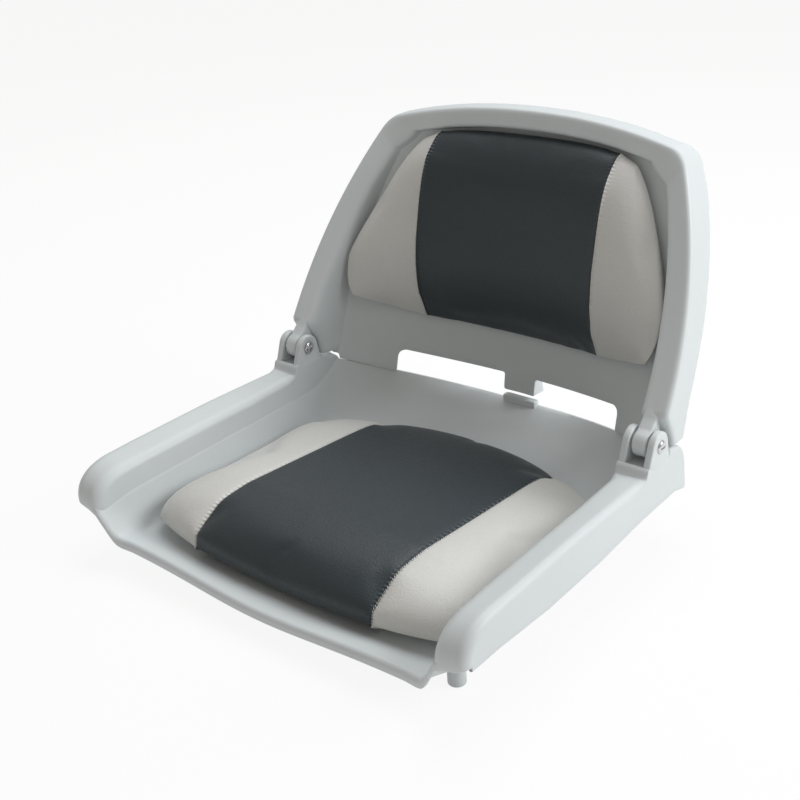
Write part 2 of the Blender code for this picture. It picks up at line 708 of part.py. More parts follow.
def panel_edge_low(x):
    """Lower edge of the panel: just above the seat's rear rim, and above its heel at the sides."""
    rise = max(0.0, abs(x) / PANEL_LOW_HALF - PANEL_CORNER) / (1 - PANEL_CORNER)
    return rim_top(x) + 0.003 + PANEL_CORNER_RISE * rise


def make_panel(group):
    """The bowed panel behind the back cushion."""
    half = len(PANEL_X) - 1

    def place(column, row):
        index = column - half
        share = math.copysign(PANEL_X[abs(index)], index)
        t = row / PANEL_ROWS
        top_x = TOP_HALF - WING_FACE
        low = max(panel_edge_low(share * PANEL_LOW_HALF), TAB_LOW_Z + 0.012)
        high = back_top(share * top_x) - TOP_FACE * 0.80
        z = low + t * (high - low)
        x = share * (wing_x(z) - WING_FACE * (0.985 if t < 0.9 else 1.0) - 0.0004)
        return Vector((x, panel_y(x, z), z))

    panel = grid_sheet("back_shell", 2 * half, PANEL_ROWS, place, group, "shell")
    thicken(panel, WALL)
    return panel


def notch_outline():
    """Front view (X, Z) of the opening under the panel, with rounded upper corners."""
    points = [(NOTCH_HALF, 0.030)]
    corner_x = NOTCH_HALF - NOTCH_CORNER
    corner_z = NOTCH_Z + NOTCH_RISE * corner_x ** 2 - NOTCH_CORNER
    for i in range(5):
        angle = math.radians(90.0 * i / 4)
        points.append((corner_x + NOTCH_CORNER * math.cos(angle),
                       corner_z + NOTCH_CORNER * math.sin(angle)))
    for i in range(1, 5):
        x = corner_x + (TAB_HALF - corner_x) * i / 4
        points.append((x, NOTCH_Z + NOTCH_RISE * x * x))
    points.append((TAB_HALF, TAB_LOW_Z - 0.01))
    mirrored = [(-x, z) for x, z in reversed(points)]
    return points + mirrored


def make_leg(side, solids, cuts):
    """One leg of the back: the knuckle between the ears, and the reliefs the ears nest in."""
    tag = "right" if side > 0 else "left"
    low, high = KNUCKLE
    outline = []
    for i in range(13):
        angle = math.radians(150.0 + 210.0 * i / 12)
        outline.append((HINGE_Y + KNUCKLE_RADIUS * math.cos(angle),
                        HINGE_Z + KNUCKLE_RADIUS * math.sin(angle)))
    front_top = WING_Y + WING_LEAN * (LEG_TOP_Z - WING_Y_Z) + 0.0015
    outline += [
        (HINGE_Y + KNUCKLE_RADIUS + 0.004, HINGE_Z + 0.012),
        (front_top + 0.012, LEG_TOP_Z),
        (front_top, LEG_TOP_Z),
    ]
    plate("leg_" + tag, outline, high - low + LEG_SPARE, side_matrix(side * (low + high) / 2), solids)
    relief = [
        (HINGE_Y - RELIEF_HALF - 0.004, RELIEF_LOW_Z),
        (HINGE_Y + RELIEF_HALF, RELIEF_LOW_Z),
        (HINGE_Y + RELIEF_HALF - 0.005, HINGE_Z - 0.002),
        (HINGE_Y + 0.005, RELIEF_TOP_Z),
        (HINGE_Y - 0.020, RELIEF_TOP_Z - 0.018),
    ]
    for name, (near, far) in (("inner", (RELIEF_ENDS[0], low)), ("outer", (high, RELIEF_ENDS[1]))):
        plate(f"{name}_relief_{tag}", relief, far - near, side_matrix(side * (near + far) / 2), cuts)
    pin_hole("knuckle_hole_" + tag, side, cuts)


def back_screw_places():
    """Where the back cushion's screws go: (point on the panel, direction into the cushion)."""
    places = []
    x_half, low_z, high_z = BACK_SCREWS
    for tag, z in (("lower", low_z), ("upper", high_z)):
        for name, x in (("left", -x_half), ("right", x_half)):
            step = 0.001
            slope_x = (panel_y(x + step, z) - panel_y(x - step, z)) / (2 * step)
            slope_z = (panel_y(x, z + step) - panel_y(x, z - step)) / (2 * step)
            places.append((f"{tag}_{name}", Vector((x, panel_y(x, z), z)),
                           Vector((slope_x, -1.0, slope_z)).normalized()))
    return places


def make_back_shell(group, helpers, pivot):
    """The moulded back shell: panel, rim, legs and stop tab in one piece."""
    solids = new_collection("back_shell_solids", helpers)
    cuts = new_collection("back_shell_cuts", helpers)
    shell = make_panel(group)
    make_band(solids)
    for side in (-1, 1):
        make_leg(side, solids, cuts)
    plate("notch", notch_outline(), 0.140, front_matrix(0.250), cuts)
    tab_top = NOTCH_Z + 0.008
    front_low = panel_y(0, TAB_LOW_Z) + TAB_INSET
    front_high = panel_y(0, tab_top) + TAB_INSET
    tab = [
        (front_low, TAB_LOW_Z),
        (front_low + TAB_DEPTH, TAB_LOW_Z),
        (front_high + TAB_DEPTH * 0.5, tab_top),
        (front_high, tab_top),
    ]
    plate("tab", tab, 2 * (TAB_HALF - TAB_INSET / 2), side_matrix(0.0), solids)
    for name, point, inward in back_screw_places():
        cylinder("back_screw_hole_" + name, PAD_SCREW_HOLE, point - inward * 0.012,
                 point + inward * 0.006, cuts, SMALL_ROUND)
    combine(shell, solids, "UNION")
    combine(shell, cuts, "DIFFERENCE")
    shell.parent = pivot
    shell.matrix_parent_inverse = pivot.matrix_world.inverted()


def pillow(value, power, root):
    """Falls from 1 in the middle to 0 at the edge of a cushion."""
    return max(0.0, 1.0 - abs(value) ** power) ** root


def seat_pad(u, v, h, inset):
    """A point of the seat cushion: u across, v along. h is 1 on the crowned top, below that
    a share of the rim's height, and where it is negative a height in metres, as -h."""
    lift = SEAT_PAD_RIM * h if h >= 0 else -h
    drawn = SEAT_PAD_DRAW * (1 - lift / SEAT_PAD_RIM) ** 1.5 + inset
    x = (SEAT_PAD_HALF - drawn) * u * (1 - 0.06 * v ** 6)
    front = SEAT_PAD_FRONT_Y + SEAT_PAD_FRONT_DRAW * (drawn - inset) + 1.5 * inset
    rear = SEAT_PAD_REAR_Y - SEAT_PAD_REAR_BOW * x * x - drawn
    corner = SEAT_PAD_FRONT_CORNER * abs(u) ** 3.5 if v < 0 else SEAT_PAD_REAR_CORNER * u ** 6
    y = (front + rear) / 2 + (rear - front) / 2 * v * (1 - corner)
    base = FLOOR_Z + SEAT_PAD_BASE
    if h < 1.0:
        return Vector((x, y, base + lift))
    height = SEAT_PAD_HEIGHT - SEAT_PAD_FALL * max(0.0, y - SEAT_PAD_FALL_Y)
    crown = (height - SEAT_PAD_RIM) * pillow(u, 7, 0.5) * pillow(v, 6 if v < 0 else 7, 0.5)
    return Vector((x, y, base + lift + crown - inset * INSET_DOWN))


def back_pad(u, v, h, inset):
    """A point of the back cushion: u across, v up the panel. h is as for seat_pad, but out
    from the panel."""
    rim_height = BACK_PAD_RIM + BACK_PAD_SIDE_RIM * u ** 6 * (1 - v) / 2
    lift = rim_height * h if h >= 0 else -h
    drawn = BACK_PAD_DRAW * (1 - lift / rim_height) ** 1.5 + inset
    z_guess = (BACK_PAD_LOW_Z + BACK_PAD_TOP_Z) / 2 + (BACK_PAD_TOP_Z - BACK_PAD_LOW_Z) / 2 * v
    taper = max(0.0, z_guess - BACK_PAD_TAPER_Z) / 0.160
    x = (BACK_PAD_HALF - BACK_PAD_TAPER * taper ** 1.3 - drawn) * u * (1 - 0.06 * v ** 6)
    low = BACK_PAD_LOW_Z + BACK_PAD_LOW_BOW * x * x + drawn
    top = BACK_PAD_TOP_Z - BACK_PAD_TOP_BOW * x * x - drawn
    z = (low + top) / 2 + (top - low) / 2 * v * (1 - 0.07 * u ** 6)
    base = panel_y(x, z) - BACK_PAD_BASE
    if h < 1.0:
        return Vector((x, base - lift, z))
    swell = pillow(v, 2, 0.75) if v < 0 else pillow(v, 4, 0.5)
    crown = (BACK_PAD_CROWN - rim_height) * pillow(u, 8, 0.5) * swell * (1 - 0.05 * u * u)
    return Vector((x, base - lift - crown + inset * INSET_DOWN, z))


def pad_grid(bm, columns, rows, height, layer, flip):
    """Adds a grid over the cushion, with its corners closer together towards the edges."""
    made = bmesh.ops.create_grid(bm, x_segments=columns, y_segments=rows, size=1.0)["verts"]
    for vert in made:
        vert[layer] = (math.sin(vert.co.x * math.pi / 2), math.sin(vert.co.y * math.pi / 2), height)
    if flip:
        faces = {face for vert in made for face in vert.link_faces}
        bmesh.ops.reverse_faces(bm, faces=list(faces))
    return made


def add_rim(bm, verts, heights, layer):
    """Extrudes the open edge of a grid down to each of the given rim heights."""
    edges = [edge for edge in {e for v in verts for e in v.link_edges} if edge.is_boundary]
    for height in heights:
        made = bmesh.ops.extrude_edge_only(bm, edges=edges)["geom"]
        edges = [part for part in made if isinstance(part, bmesh.types.BMEdge) and part.is_boundary]
        for vert in (part for part in made if isinstance(part, bmesh.types.BMVert)):
            u, v, _ = vert[layer]
            vert[layer] = (u, v, height)


def settle(bm, pad, inset, layer):
    """Moves every corner to its place on the cushion."""
    for vert in bm.verts:
        u, v, height = vert[layer]
        vert.co = pad(u, v, height, inset)
    bmesh.ops.remove_doubles(bm, verts=bm.verts, dist=1e-6)


def face_out(bm, middle):
    """Turns the faces of an open cushion skin away from the cushion's middle."""
    bmesh.ops.recalc_face_normals(bm, faces=bm.faces)
    outward = 0.0
    for face in bm.faces:
        outward += (face.calc_center_median() - middle).dot(face.normal) * face.calc_area()
    if outward < 0:
        bmesh.ops.reverse_faces(bm, faces=list(bm.faces))


def cover_panel(name, pad, middle, low_x, high_x, group, colour):
    """One sewn panel of a cushion cover: its part of the crowned skin, as thick as the vinyl."""
    bm = bmesh.new()
    layer = bm.verts.layers.float_vector.new("place")
    verts = pad_grid(bm, PAD_COLUMNS, PAD_ROWS, 1.0, layer, False)
    add_rim(bm, verts, (0.5, 0.02), layer)
    settle(bm, pad, 0.0, layer)
    for x, normal in ((low_x, (-1, 0, 0)), (high_x, (1, 0, 0))):
        if abs(x) < 1:
            geometry = list(bm.verts) + list(bm.edges) + list(bm.faces)
            bmesh.ops.bisect_plane(bm, geom=geometry, dist=1e-6, plane_co=(x, 0, 0),
                                   plane_no=normal, clear_outer=True)
    face_out(bm, middle)
    panel = add_mesh(name, bm, group, colour)
    thicken(panel, VINYL)
    return panel


def foam_core(name, pad, board, group):
    """The foam inside a cover, on top of its board."""
    bm = bmesh.new()
    layer = bm.verts.layers.float_vector.new("place")
    foot = -(board + 2 * GAP)
    verts = pad_grid(bm, PAD_COLUMNS, PAD_ROWS, 1.0, layer, False)
    add_rim(bm, verts, (foot,), layer)
    pad_grid(bm, PAD_COLUMNS, PAD_ROWS, foot, layer, True)
    settle(bm, pad, FOAM_INSET, layer)
    bmesh.ops.recalc_face_normals(bm, faces=bm.faces)
    return add_mesh(name, bm, group, "foam")


def pad_board(name, pad, thickness, group, holes):
    """The board under the foam, with pilot holes for the cushion's screws."""
    bm = bmesh.new()
    layer = bm.verts.layers.float_vector.new("place")
    foot = -GAP
    top = -(GAP + thickness)
    verts = pad_grid(bm, PAD_COLUMNS, PAD_ROWS, top, layer, False)
    add_rim(bm, verts, (foot,), layer)
    pad_grid(bm, PAD_COLUMNS, PAD_ROWS, foot, layer, True)
    settle(bm, pad, BOARD_INSET, layer)
    bmesh.ops.recalc_face_normals(bm, faces=bm.faces)
    board = add_mesh(name, bm, group, "board")
    combine(board, holes, "DIFFERENCE")
    return board


def make_cushion(kind, pad, middle, board_thickness, group, holes):
    """A cushion: three sewn cover panels, their foam and the board they are fixed to."""
    pieces = [
        cover_panel(f"{kind}_cover_left", pad, middle, -2, -SEAM_X - SEAM_GAP / 2, group, "light_vinyl"),
        cover_panel(f"{kind}_cover_centre", pad, middle, -SEAM_X + SEAM_GAP / 2, SEAM_X - SEAM_GAP / 2,
                    group, "dark_vinyl"),
        cover_panel(f"{kind}_cover_right", pad, middle, SEAM_X + SEAM_GAP / 2, 2, group, "light_vinyl"),
        foam_core(f"{kind}_foam", pad, board_thickness, group),
        pad_board(f"{kind}_board", pad, board_thickness, group, holes),
    ]
    return pieces


def pan_head(shaft_radius, head_radius, head_height, length):
    """Profile of a pan-head screw whose head stands on z = 0 and whose shaft goes down."""
    return [
        (0.0, head_height),
        (head_radius * 0.62, head_height * 0.95),
        (head_radius * 0.93, head_height * 0.60),
        (head_radius, 0.0),
        (shaft_radius, 0.0),
        (shaft_radius, -length + shaft_radius),
        (0.0, -length),
    ]


def along(point, direction):
    """Puts a turned piece's z = 0 at a point, with its +Z along a direction."""
    turn = Vector(direction).to_track_quat("Z", "Y").to_matrix().to_4x4()
    return Matrix.Translation(Vector(point)) @ turn


def slot_cut(piece, boxes, matrix, helpers):
    """Cuts driver slots into a screw head; boxes are (length, width, low, high)."""
    cuts = new_collection(piece.name + "_slots", helpers)
    for i, (length, width, low, high) in enumerate(boxes):
        corner = Vector((length / 2, width / 2, 0))
        cutter = block(f"{piece.name}_slot_{i}", -corner + Vector((0, 0, low)),
                       corner + Vector((0, 0, high)), cuts)
        cutter.data.transform(matrix)
    combine(piece, cuts, "DIFFERENCE")


def make_hinge_hardware(side, group, helpers):
    """Barrel nut, screw and two washers of one hinge."""
    tag = "right" if side > 0 else "left"
    out = (side, 0, 0)
    face = OUTER_EAR[1] + GAP
    barrel_end = INNER_EAR[0] + 0.0015
    barrel = turned("hinge_barrel_" + tag, [
        (0.0, PIN_HEAD_HEIGHT),
        (PIN_HEAD_RADIUS * 0.55, PIN_HEAD_HEIGHT * 0.88),
        (PIN_HEAD_RADIUS * 0.88, PIN_HEAD_HEIGHT * 0.52),
        (PIN_HEAD_RADIUS, 0.0),
        (BARREL_RADIUS, 0.0),
        (BARREL_RADIUS, barrel_end - face),
        (BARREL_BORE, barrel_end - face),
        (BARREL_BORE, barrel_end - face + 0.018),
        (0.0, barrel_end - face + 0.0195),
    ], ROUND, along((side * face, HINGE_Y, HINGE_Z), out), group, "steel")
    matrix = barrel.matrix_world
    slot_cut(barrel, ((0.020, 0.0014, PIN_HEAD_HEIGHT * 0.5, PIN_HEAD_HEIGHT * 1.5),), matrix, helpers)
    inner_face = INNER_EAR[0] - GAP
    screw = turned("hinge_screw_" + tag, pan_head(SCREW_RADIUS, PIN_HEAD_RADIUS, PIN_HEAD_HEIGHT, 0.0165),
                   ROUND, along((side * inner_face, HINGE_Y, HINGE_Z), (-side, 0, 0)), group, "steel")
    cross = (0.0062, 0.0013, PIN_HEAD_HEIGHT * 0.35, PIN_HEAD_HEIGHT * 1.5)
    turned_cross = (0.0013, 0.0062, PIN_HEAD_HEIGHT * 0.35, PIN_HEAD_HEIGHT * 1.5)
    slot_cut(screw, (cross, turned_cross), screw.matrix_world, helpers)
    for name, (low, high) in (("inner", WASHER_IN), ("outer", WASHER_OUT)):
        thickness = high - low
        turned(f"hinge_washer_{name}_{tag}", [
            (WASHER_RADIUS, thickness / 2),
            (WASHER_RADIUS, -thickness / 2),
            (PIN_HOLE, -thickness / 2),
            (PIN_HOLE, thickness / 2),
        ], SMALL_ROUND + 2, along((side * (low + high) / 2, HINGE_Y, HINGE_Z), out), group, "nylon")


def make_mount_inserts(group):
    """Four threaded inserts, flush with the mounting plane."""
    for row, sy in (("front", -1), ("rear", 1)):
        for column, sx in (("left", -1), ("right", 1)):
            turned(f"mount_insert_{row}_{column}", [
                (INSERT_RADIUS, 0.0),
                (INSERT_RADIUS, -INSERT_LENGTH),
                (INSERT_BORE, -INSERT_LENGTH),
                (INSERT_BORE, 0.0),
            ], SMALL_ROUND + 2, Matrix.Translation((sx * BOLT_HALF, sy * BOLT_HALF, INSERT_LENGTH)),
                group, "brass")


def make_pad_screws(group, pivot, seat_holes, back_holes):
    """Four screws up into the seat board and four forward into the back board."""
    for row, sy in (("front", -1), ("rear", 1)):
        for column, sx in (("left", -1), ("right", 1)):
            at = (sx * SEAT_SCREWS[0], sy * SEAT_SCREWS[1], FLOOR_Z - WALL - GAP)
            turned(f"seat_screw_{row}_{column}",
                   pan_head(PAD_SCREW_RADIUS, PAD_SCREW_HEAD, PAD_SCREW_HEAD_HEIGHT, 0.0115),
                   SMALL_ROUND, along(at, (0, 0, -1)), group, "steel")
            cylinder(f"seat_board_hole_{row}_{column}", PAD_SCREW_HOLE, (at[0], at[1], FLOOR_Z - 0.004),
                     (at[0], at[1], FLOOR_Z + 0.0083), seat_holes, SMALL_ROUND)
    for name, point, inward in back_screw_places():
        at = point - inward * (WALL + GAP * 1.5)
        made = turned(f"back_screw_{name}",
                      pan_head(PAD_SCREW_RADIUS, PAD_SCREW_HEAD, PAD_SCREW_HEAD_HEIGHT, 0.0085),
                      SMALL_ROUND, along(at, -inward), group, "steel")
        made.parent = pivot
        made.matrix_parent_inverse = pivot.matrix_world.inverted()
        cylinder("back_board_hole_" + name, PAD_SCREW_HOLE, point - inward * 0.004,
                 point + inward * BACK_PILOT, back_holes, SMALL_ROUND)


def main():
    """Build the seat."""
    clear_scene()
    scene_root = bpy.context.scene.collection
    seat = new_collection("folding_boat_seat", scene_root)
    helpers = new_collection("cutters", scene_root)
    pivot = bpy.data.objects.new("back_pivot", None)
    pivot.location = (0.0, HINGE_Y, HINGE_Z)
    seat.objects.link(pivot)
    bpy.context.view_layer.update()
    make_seat_shell(seat, helpers)
    make_back_shell(seat, helpers, pivot)
    seat_holes = new_collection("seat_board_holes", helpers)
    back_holes = new_collection("back_board_holes", helpers)
    make_cushion("seat", seat_pad, Vector((0, 0, FLOOR_Z)), SEAT_BOARD, seat, seat_holes)
    back = make_cushion("back", back_pad, Vector((0, 0.250, 0.24)), BACK_BOARD, seat, back_holes)
    for piece in back:
        piece.parent = pivot
        piece.matrix_parent_inverse = pivot.matrix_world.inverted()
    for side in (-1, 1):
        make_hinge_hardware(side, seat, helpers)
    make_mount_inserts(seat)
    make_pad_screws(seat, pivot, seat_holes, back_holes)


main()
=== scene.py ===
"""Folding boat seat: moulded shells, sewn cushions, hinges and a plain studio.

Metres, +Z up, -Y is the front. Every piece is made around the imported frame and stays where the
frame's solids are. The seat body carries the pan and the lower cushion, the back body the rest.
"""

import functools
import json
import math

import bmesh
import bpy
import numpy as np
from bpy.props import FloatProperty, FloatVectorProperty, PointerProperty
from mathutils import Matrix, Vector


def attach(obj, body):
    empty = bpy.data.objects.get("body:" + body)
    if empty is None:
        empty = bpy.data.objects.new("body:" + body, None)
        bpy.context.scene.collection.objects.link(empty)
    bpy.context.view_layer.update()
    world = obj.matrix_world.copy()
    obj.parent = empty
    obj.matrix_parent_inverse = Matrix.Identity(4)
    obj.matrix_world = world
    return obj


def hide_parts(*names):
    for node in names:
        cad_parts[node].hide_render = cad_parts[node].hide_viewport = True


bl_info = {
    "name": "Folding boat seat",
    "version": (1, 0, 0),
    "blender": (4, 5, 0),
    "location": "View3D > Sidebar > Boat Seat",
    "description": "Makes the shells, cushions, hinges and studio of a folding boat seat",
    "category": "Object",
}

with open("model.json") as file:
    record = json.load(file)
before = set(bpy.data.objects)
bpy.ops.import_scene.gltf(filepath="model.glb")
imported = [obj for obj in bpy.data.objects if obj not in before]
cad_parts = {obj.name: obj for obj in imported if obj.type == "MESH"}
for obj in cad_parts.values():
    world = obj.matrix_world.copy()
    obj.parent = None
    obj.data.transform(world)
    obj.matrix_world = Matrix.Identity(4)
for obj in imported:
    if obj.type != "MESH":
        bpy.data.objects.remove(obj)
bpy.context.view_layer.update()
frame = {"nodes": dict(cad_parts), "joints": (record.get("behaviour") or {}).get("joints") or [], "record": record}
HINGE = frame["joints"][0]["pos_m"]
COLOUR = {row["slot"]: tuple(row["base_color"]) for row in frame["record"]["materials"]}
SIDES = (("left", -1.0), ("right", 1.0))
ENDS = (("front", -1), ("rear", 1))


def metres(name, text, default, low, high):
    """A setting that holds a length."""
    return FloatProperty(name=name, description=text, default=default, min=low, max=high,
                         unit="LENGTH")


def tint(name, text, default):
    """A setting that holds a colour."""
    return FloatVectorProperty(name=name, description=text, default=default, size=3,
                               min=0.0, max=1.0, subtype="COLOR")


class SeatSettings(bpy.types.PropertyGroup):
    """Sizes, colours and lights of the seat."""

    wall: metres("Wall", "Thickness of the moulded wall", 0.0035, 0.001, 0.01)
    arm_edge: metres("Arm edge", "Rounding along the top of an arm", 0.0085, 0.001, 0.015)
    ear_edge: metres("Ear edge", "Rounding of the hinge ears", 0.0018, 0.0002, 0.0035)
    swell_out: metres("Swell outwards", "How far a cushion may swell away from its board",
                      0.0050, 0.0, 0.02)
    swell_aside: metres("Swell sideways", "How far a cushion may swell towards the shell",
                        0.0012, 0.0, 0.01)
    seam_depth: metres("Seam depth", "How deep a seam is drawn into the cushion",
                       0.0016, 0.0, 0.006)
    stitch_pitch: metres("Stitch pitch", "Distance between stitches", 0.0029, 0.001, 0.01)
    stitch_length: metres("Stitch length", "Length of one stitch", 0.0026, 0.0005, 0.009)
    shell_colour: tint("Shell", "Colour of the moulded shells", (0.62, 0.655, 0.665))
    light_colour: tint("Light vinyl", "Colour of the side panels", (0.62, 0.615, 0.59))
    dark_colour: tint("Dark vinyl", "Colour of the centre panels", (0.020, 0.030, 0.036))
    thread_colour: tint("Thread", "Colour of the stitching", (0.80, 0.79, 0.76))
    key_power: FloatProperty(name="Key light", description="Power of the lamp beside the seat",
                             default=26.0, min=0.0, max=500.0, subtype="POWER")
    top_power: FloatProperty(name="Top light", description="Power of the lamp above the seat",
                             default=23.0, min=0.0, max=500.0, subtype="POWER")
    world_strength: FloatProperty(name="Room light", description="Strength of the room's light",
                                  default=0.39, min=0.0, max=5.0)


# Sizes that the fine surfaces share with the frame's solids
HALF_WIDTH = 0.250
FLOOR_Z = 0.020
FLOOR_HALF = 0.188
PAN_HALF = 0.2143
PAN_WALL_RISE = 0.0455
PAN_FLANGE = 0.0062
PAN_FLANGE_RISE = 0.0067
LIP_FLARE = 0.0147
LIP_Y = -0.191
LIP_DEPTH = 0.009
LIP_TOP_Z = 0.033
LIP_DIP = 0.007
LIP_DIP_HALF = 0.110
LIP_BOW = 0.004
LIP_SIDE_RISE = 0.0137
LIP_ROUND = 0.005
NOSE_X = 0.218
NOSE_STEP = 0.020
NOSE_RISE = 0.0142
FLOOR_FRONT_Y = -0.146
FLOOR_REAR_Y = 0.145
FLOOR_REAR_EARLY = 0.030
REAR_Y = 0.252
REAR_BOW = 1.8
RIM_Z = 0.050
RIM_SIDE_RISE = 0.043
RIM_SIDE_X = 0.228
RIM_ROUND = 0.007
SKIRT_DEPTH = 0.029
ARM_INNER = 0.2145
ARM_FRONT_Y = -0.198
ARM_LOW_Z = 0.064
ARM_LOW_LINE = ((-0.198, -0.149, -0.074, 0.011, 0.085, 0.158, 0.182),
                (0.0625, 0.061, 0.054, 0.0525, 0.0555, 0.0545, 0.0485))
ARM_INNER_LINE = ((-0.165, -0.145, 0.11, 0.16), (0.057, 0.060, 0.060, 0.062))
ARM_FALL_LINE = ((0.02, 0.0972, 0.1012, 0.142, 0.145, 0.160, 0.1765, 0.182),
                 (1.0, 0.30, 0.0, 0.0, 0.50, 1.30, 0.60, 0.0))
ARM_TOP_Z = 0.102
ARM_TOP_FALL = 0.008
NOSE_LENGTH = 0.049
EAR_RADIUS = 0.015
EAR_BASE = ((0.1014, 0.1002), (0.1438, 0.1002))
EAR_CUT = 0.0045
EARS = ((0.2148, 0.2224), (0.2420, 0.2497))
KNUCKLE = (0.2244, 0.2400)
KNUCKLE_RADIUS = 0.014
HEAD_RADIUS = 0.0066
HEAD_HEIGHT = 0.0028
BOLT_HALF = 0.0635
RIB_HALF = 0.078
BOSS_TOP_Z = 0.0185
FEET = ((0.200, -0.146), (0.196, 0.112))
BACK_SLOPE = 0.169
BACK_LOW_Z = 0.087
BACK_TOP_Z = 0.385
BACK_TOP_FALL = 0.0205
TOP_HALF = 0.186
WING_LOW_Z = 0.1095
WING_FACE = 0.031
FOOT_DROP = 0.0085
FOOT_DROP_HEIGHT = 0.012
TOP_FACE = 0.022
CORNER_Z = 0.352
CORNER_X = 0.174
TOP_Y = 0.293
TOP_BOW = 0.022
RIDGE_ROUND = 0.0075
NOTCH_HALF = 0.152
NOTCH_Z = 0.084
NOTCH_RISE = 0.70
NOTCH_CORNER = 0.009
TAB_HALF = 0.021
TAB_LOW_Z = 0.064
SEAM_X = 0.116
SEAM_GAP = 0.0002
STRAIGHT_X = 0.121
SEAT_CUSHION_HALF = 0.2048
BACK_CUSHION_HALF = 0.2085
SEAT_BASE_Z = 0.0208
SCREW_RADIUS = 0.0045
SCREW_HEIGHT = 0.0025
THREAD_PITCH = 0.0005

# A plate's flat core lies inside its rounding, and a second ring lies between core and middle
SLAB_CORE = 1.2
SLAB_INNER = 0.6
ALONG_X = ((0, 1, 0), (0, 0, 1), (1, 0, 0))
ALONG_Z = ((1, 0, 0), (0, 1, 0), (0, 0, 1))

# Camera that was fitted to the photograph
CAMERA_ANGLES = (39.10, 26.98, -3.68)
CAMERA_TARGET = (0, 0.1047, 0.101)
CAMERA_AWAY = 1.25601
CAMERA_LENS = 52.53
CAMERA_SHIFT = (-0.05405, 0.01443)


# Grids, walls and slabs

def grid_faces(index):
    """Four-sided faces of a grid of vertex numbers: each face joins a number, the next one in its
    row, and the two that lie beside them in the next row."""
    corners = [index[:-1, :-1], index[:-1, 1:], index[1:, 1:], index[1:, :-1]]
    return np.stack(corners, -1).reshape(-1, 4)


def sheet(points):
    """Vertices and faces of one open grid of points."""
    rows, columns = points.shape[:2]
    return points.reshape(-1, 3), grid_faces(np.arange(rows * columns).reshape(rows, columns))


def loops(points):
    """Vertices and faces of a stack of closed loops, each joined to the next."""
    rows, columns = points.shape[:2]
    index = np.arange(rows * columns).reshape(rows, columns)
    return points.reshape(-1, 3), grid_faces(np.concatenate([index, index[:, :1]], 1))


def unit(vectors):
    """Vectors divided by their length."""
    return vectors / np.maximum(np.linalg.norm(vectors, axis=-1, keepdims=True), 1e-12)


def walled(points, thickness):
    """A closed wall: the grid, the grid moved by the thickness along its normals, and round it
    two rings that run out past the edge by 0.3 of the thickness and meet halfway."""
    along = np.gradient(points, axis=0)
    across = np.gradient(points, axis=1)
    normal = unit(np.cross(across, along))
    spread = ((2, 2), (2, 2), (0, 0))
    base = np.pad(points, spread, mode="edge")
    normal = np.pad(normal, spread, mode="edge")
    along = np.pad(unit(along), spread, mode="edge")
    across = np.pad(unit(across), spread, mode="edge")
    rows, columns = base.shape[:2]
    row = np.arange(rows)[:, None]
    column = np.arange(columns)[None, :]
    row_ring = np.maximum(2 - row, row - rows + 3).clip(0)
    column_ring = np.maximum(2 - column, column - columns + 3).clip(0)
    ring = np.maximum(row_ring, column_ring)
    side_row = np.sign(row - rows / 2) * (row_ring > 0)
    side_column = np.sign(column - columns / 2) * (column_ring > 0)
    out = unit(along * side_row[..., None] + across * side_column[..., None])
    reach = np.array([0.0, 0.22, 0.30])[ring][..., None] * abs(thickness)
    depth = np.array([0.0, 0.12, 0.50])[ring][..., None] * thickness
    front = base + out * reach + normal * depth
    back = base + out * reach + normal * (thickness - depth)
    return [sheet(front), sheet(back)]


def path_normals(loop, closed=True):
    """Outward normals of a flat path that runs anticlockwise: its direction, turned by a right
    angle."""
    if closed:
        direction = np.roll(loop, -1, 0) - np.roll(loop, 1, 0)
    else:
        direction = np.gradient(loop, axis=0)
    direction = unit(direction)
    return np.stack([direction[:, 1], -direction[:, 0]], -1)


def rounded_path(corners, radii, steps=7, closed=False):
    """A path of straight runs whose corners are replaced by quadratic curves that start and end
    one radius away from the corner."""
    corners = np.array(corners, float)
    parts = []
    count = len(corners)
    share = np.linspace(0, 1, steps)[:, None]
    for i, (corner, radius) in enumerate(zip(corners, radii)):
        if not closed and i in (0, count - 1):
            parts.append(corner[None])
            continue
        before = unit(corners[i - 1] - corner) * radius + corner
        after = unit(corners[(i + 1) % count] - corner) * radius + corner
        parts.append((1 - share) ** 2 * before + 2 * share * (1 - share) * corner
                     + share ** 2 * after)
    return np.concatenate(parts)


def arc_length(path):
    """Distance along a path from its start to each of its points."""
    return np.concatenate([[0], np.cumsum(np.linalg.norm(np.diff(path, axis=0), axis=1))])


def picked(path, length, at):
    """The columns of a path at given distances along it."""
    return np.stack([np.interp(at, length, column) for column in path.T], -1)


def resample(path, step, closed=False):
    """A path cut into equal steps along its length, which its first two columns give."""
    if closed:
        path = np.concatenate([path, path[:1]])
    length = arc_length(path[:, :2])
    at = np.linspace(0, length[-1], max(3, int(round(length[-1] / step)) + 1))
    return picked(path, length, at[:-1] if closed else at)


def placed(origin, axes, a, b, height):
    """Points at given distances from an origin along three axes."""
    axis_a, axis_b, axis_h = (np.array(axis, float) for axis in axes)
    return np.array(origin, float) + a * axis_a + b * axis_b + height * axis_h


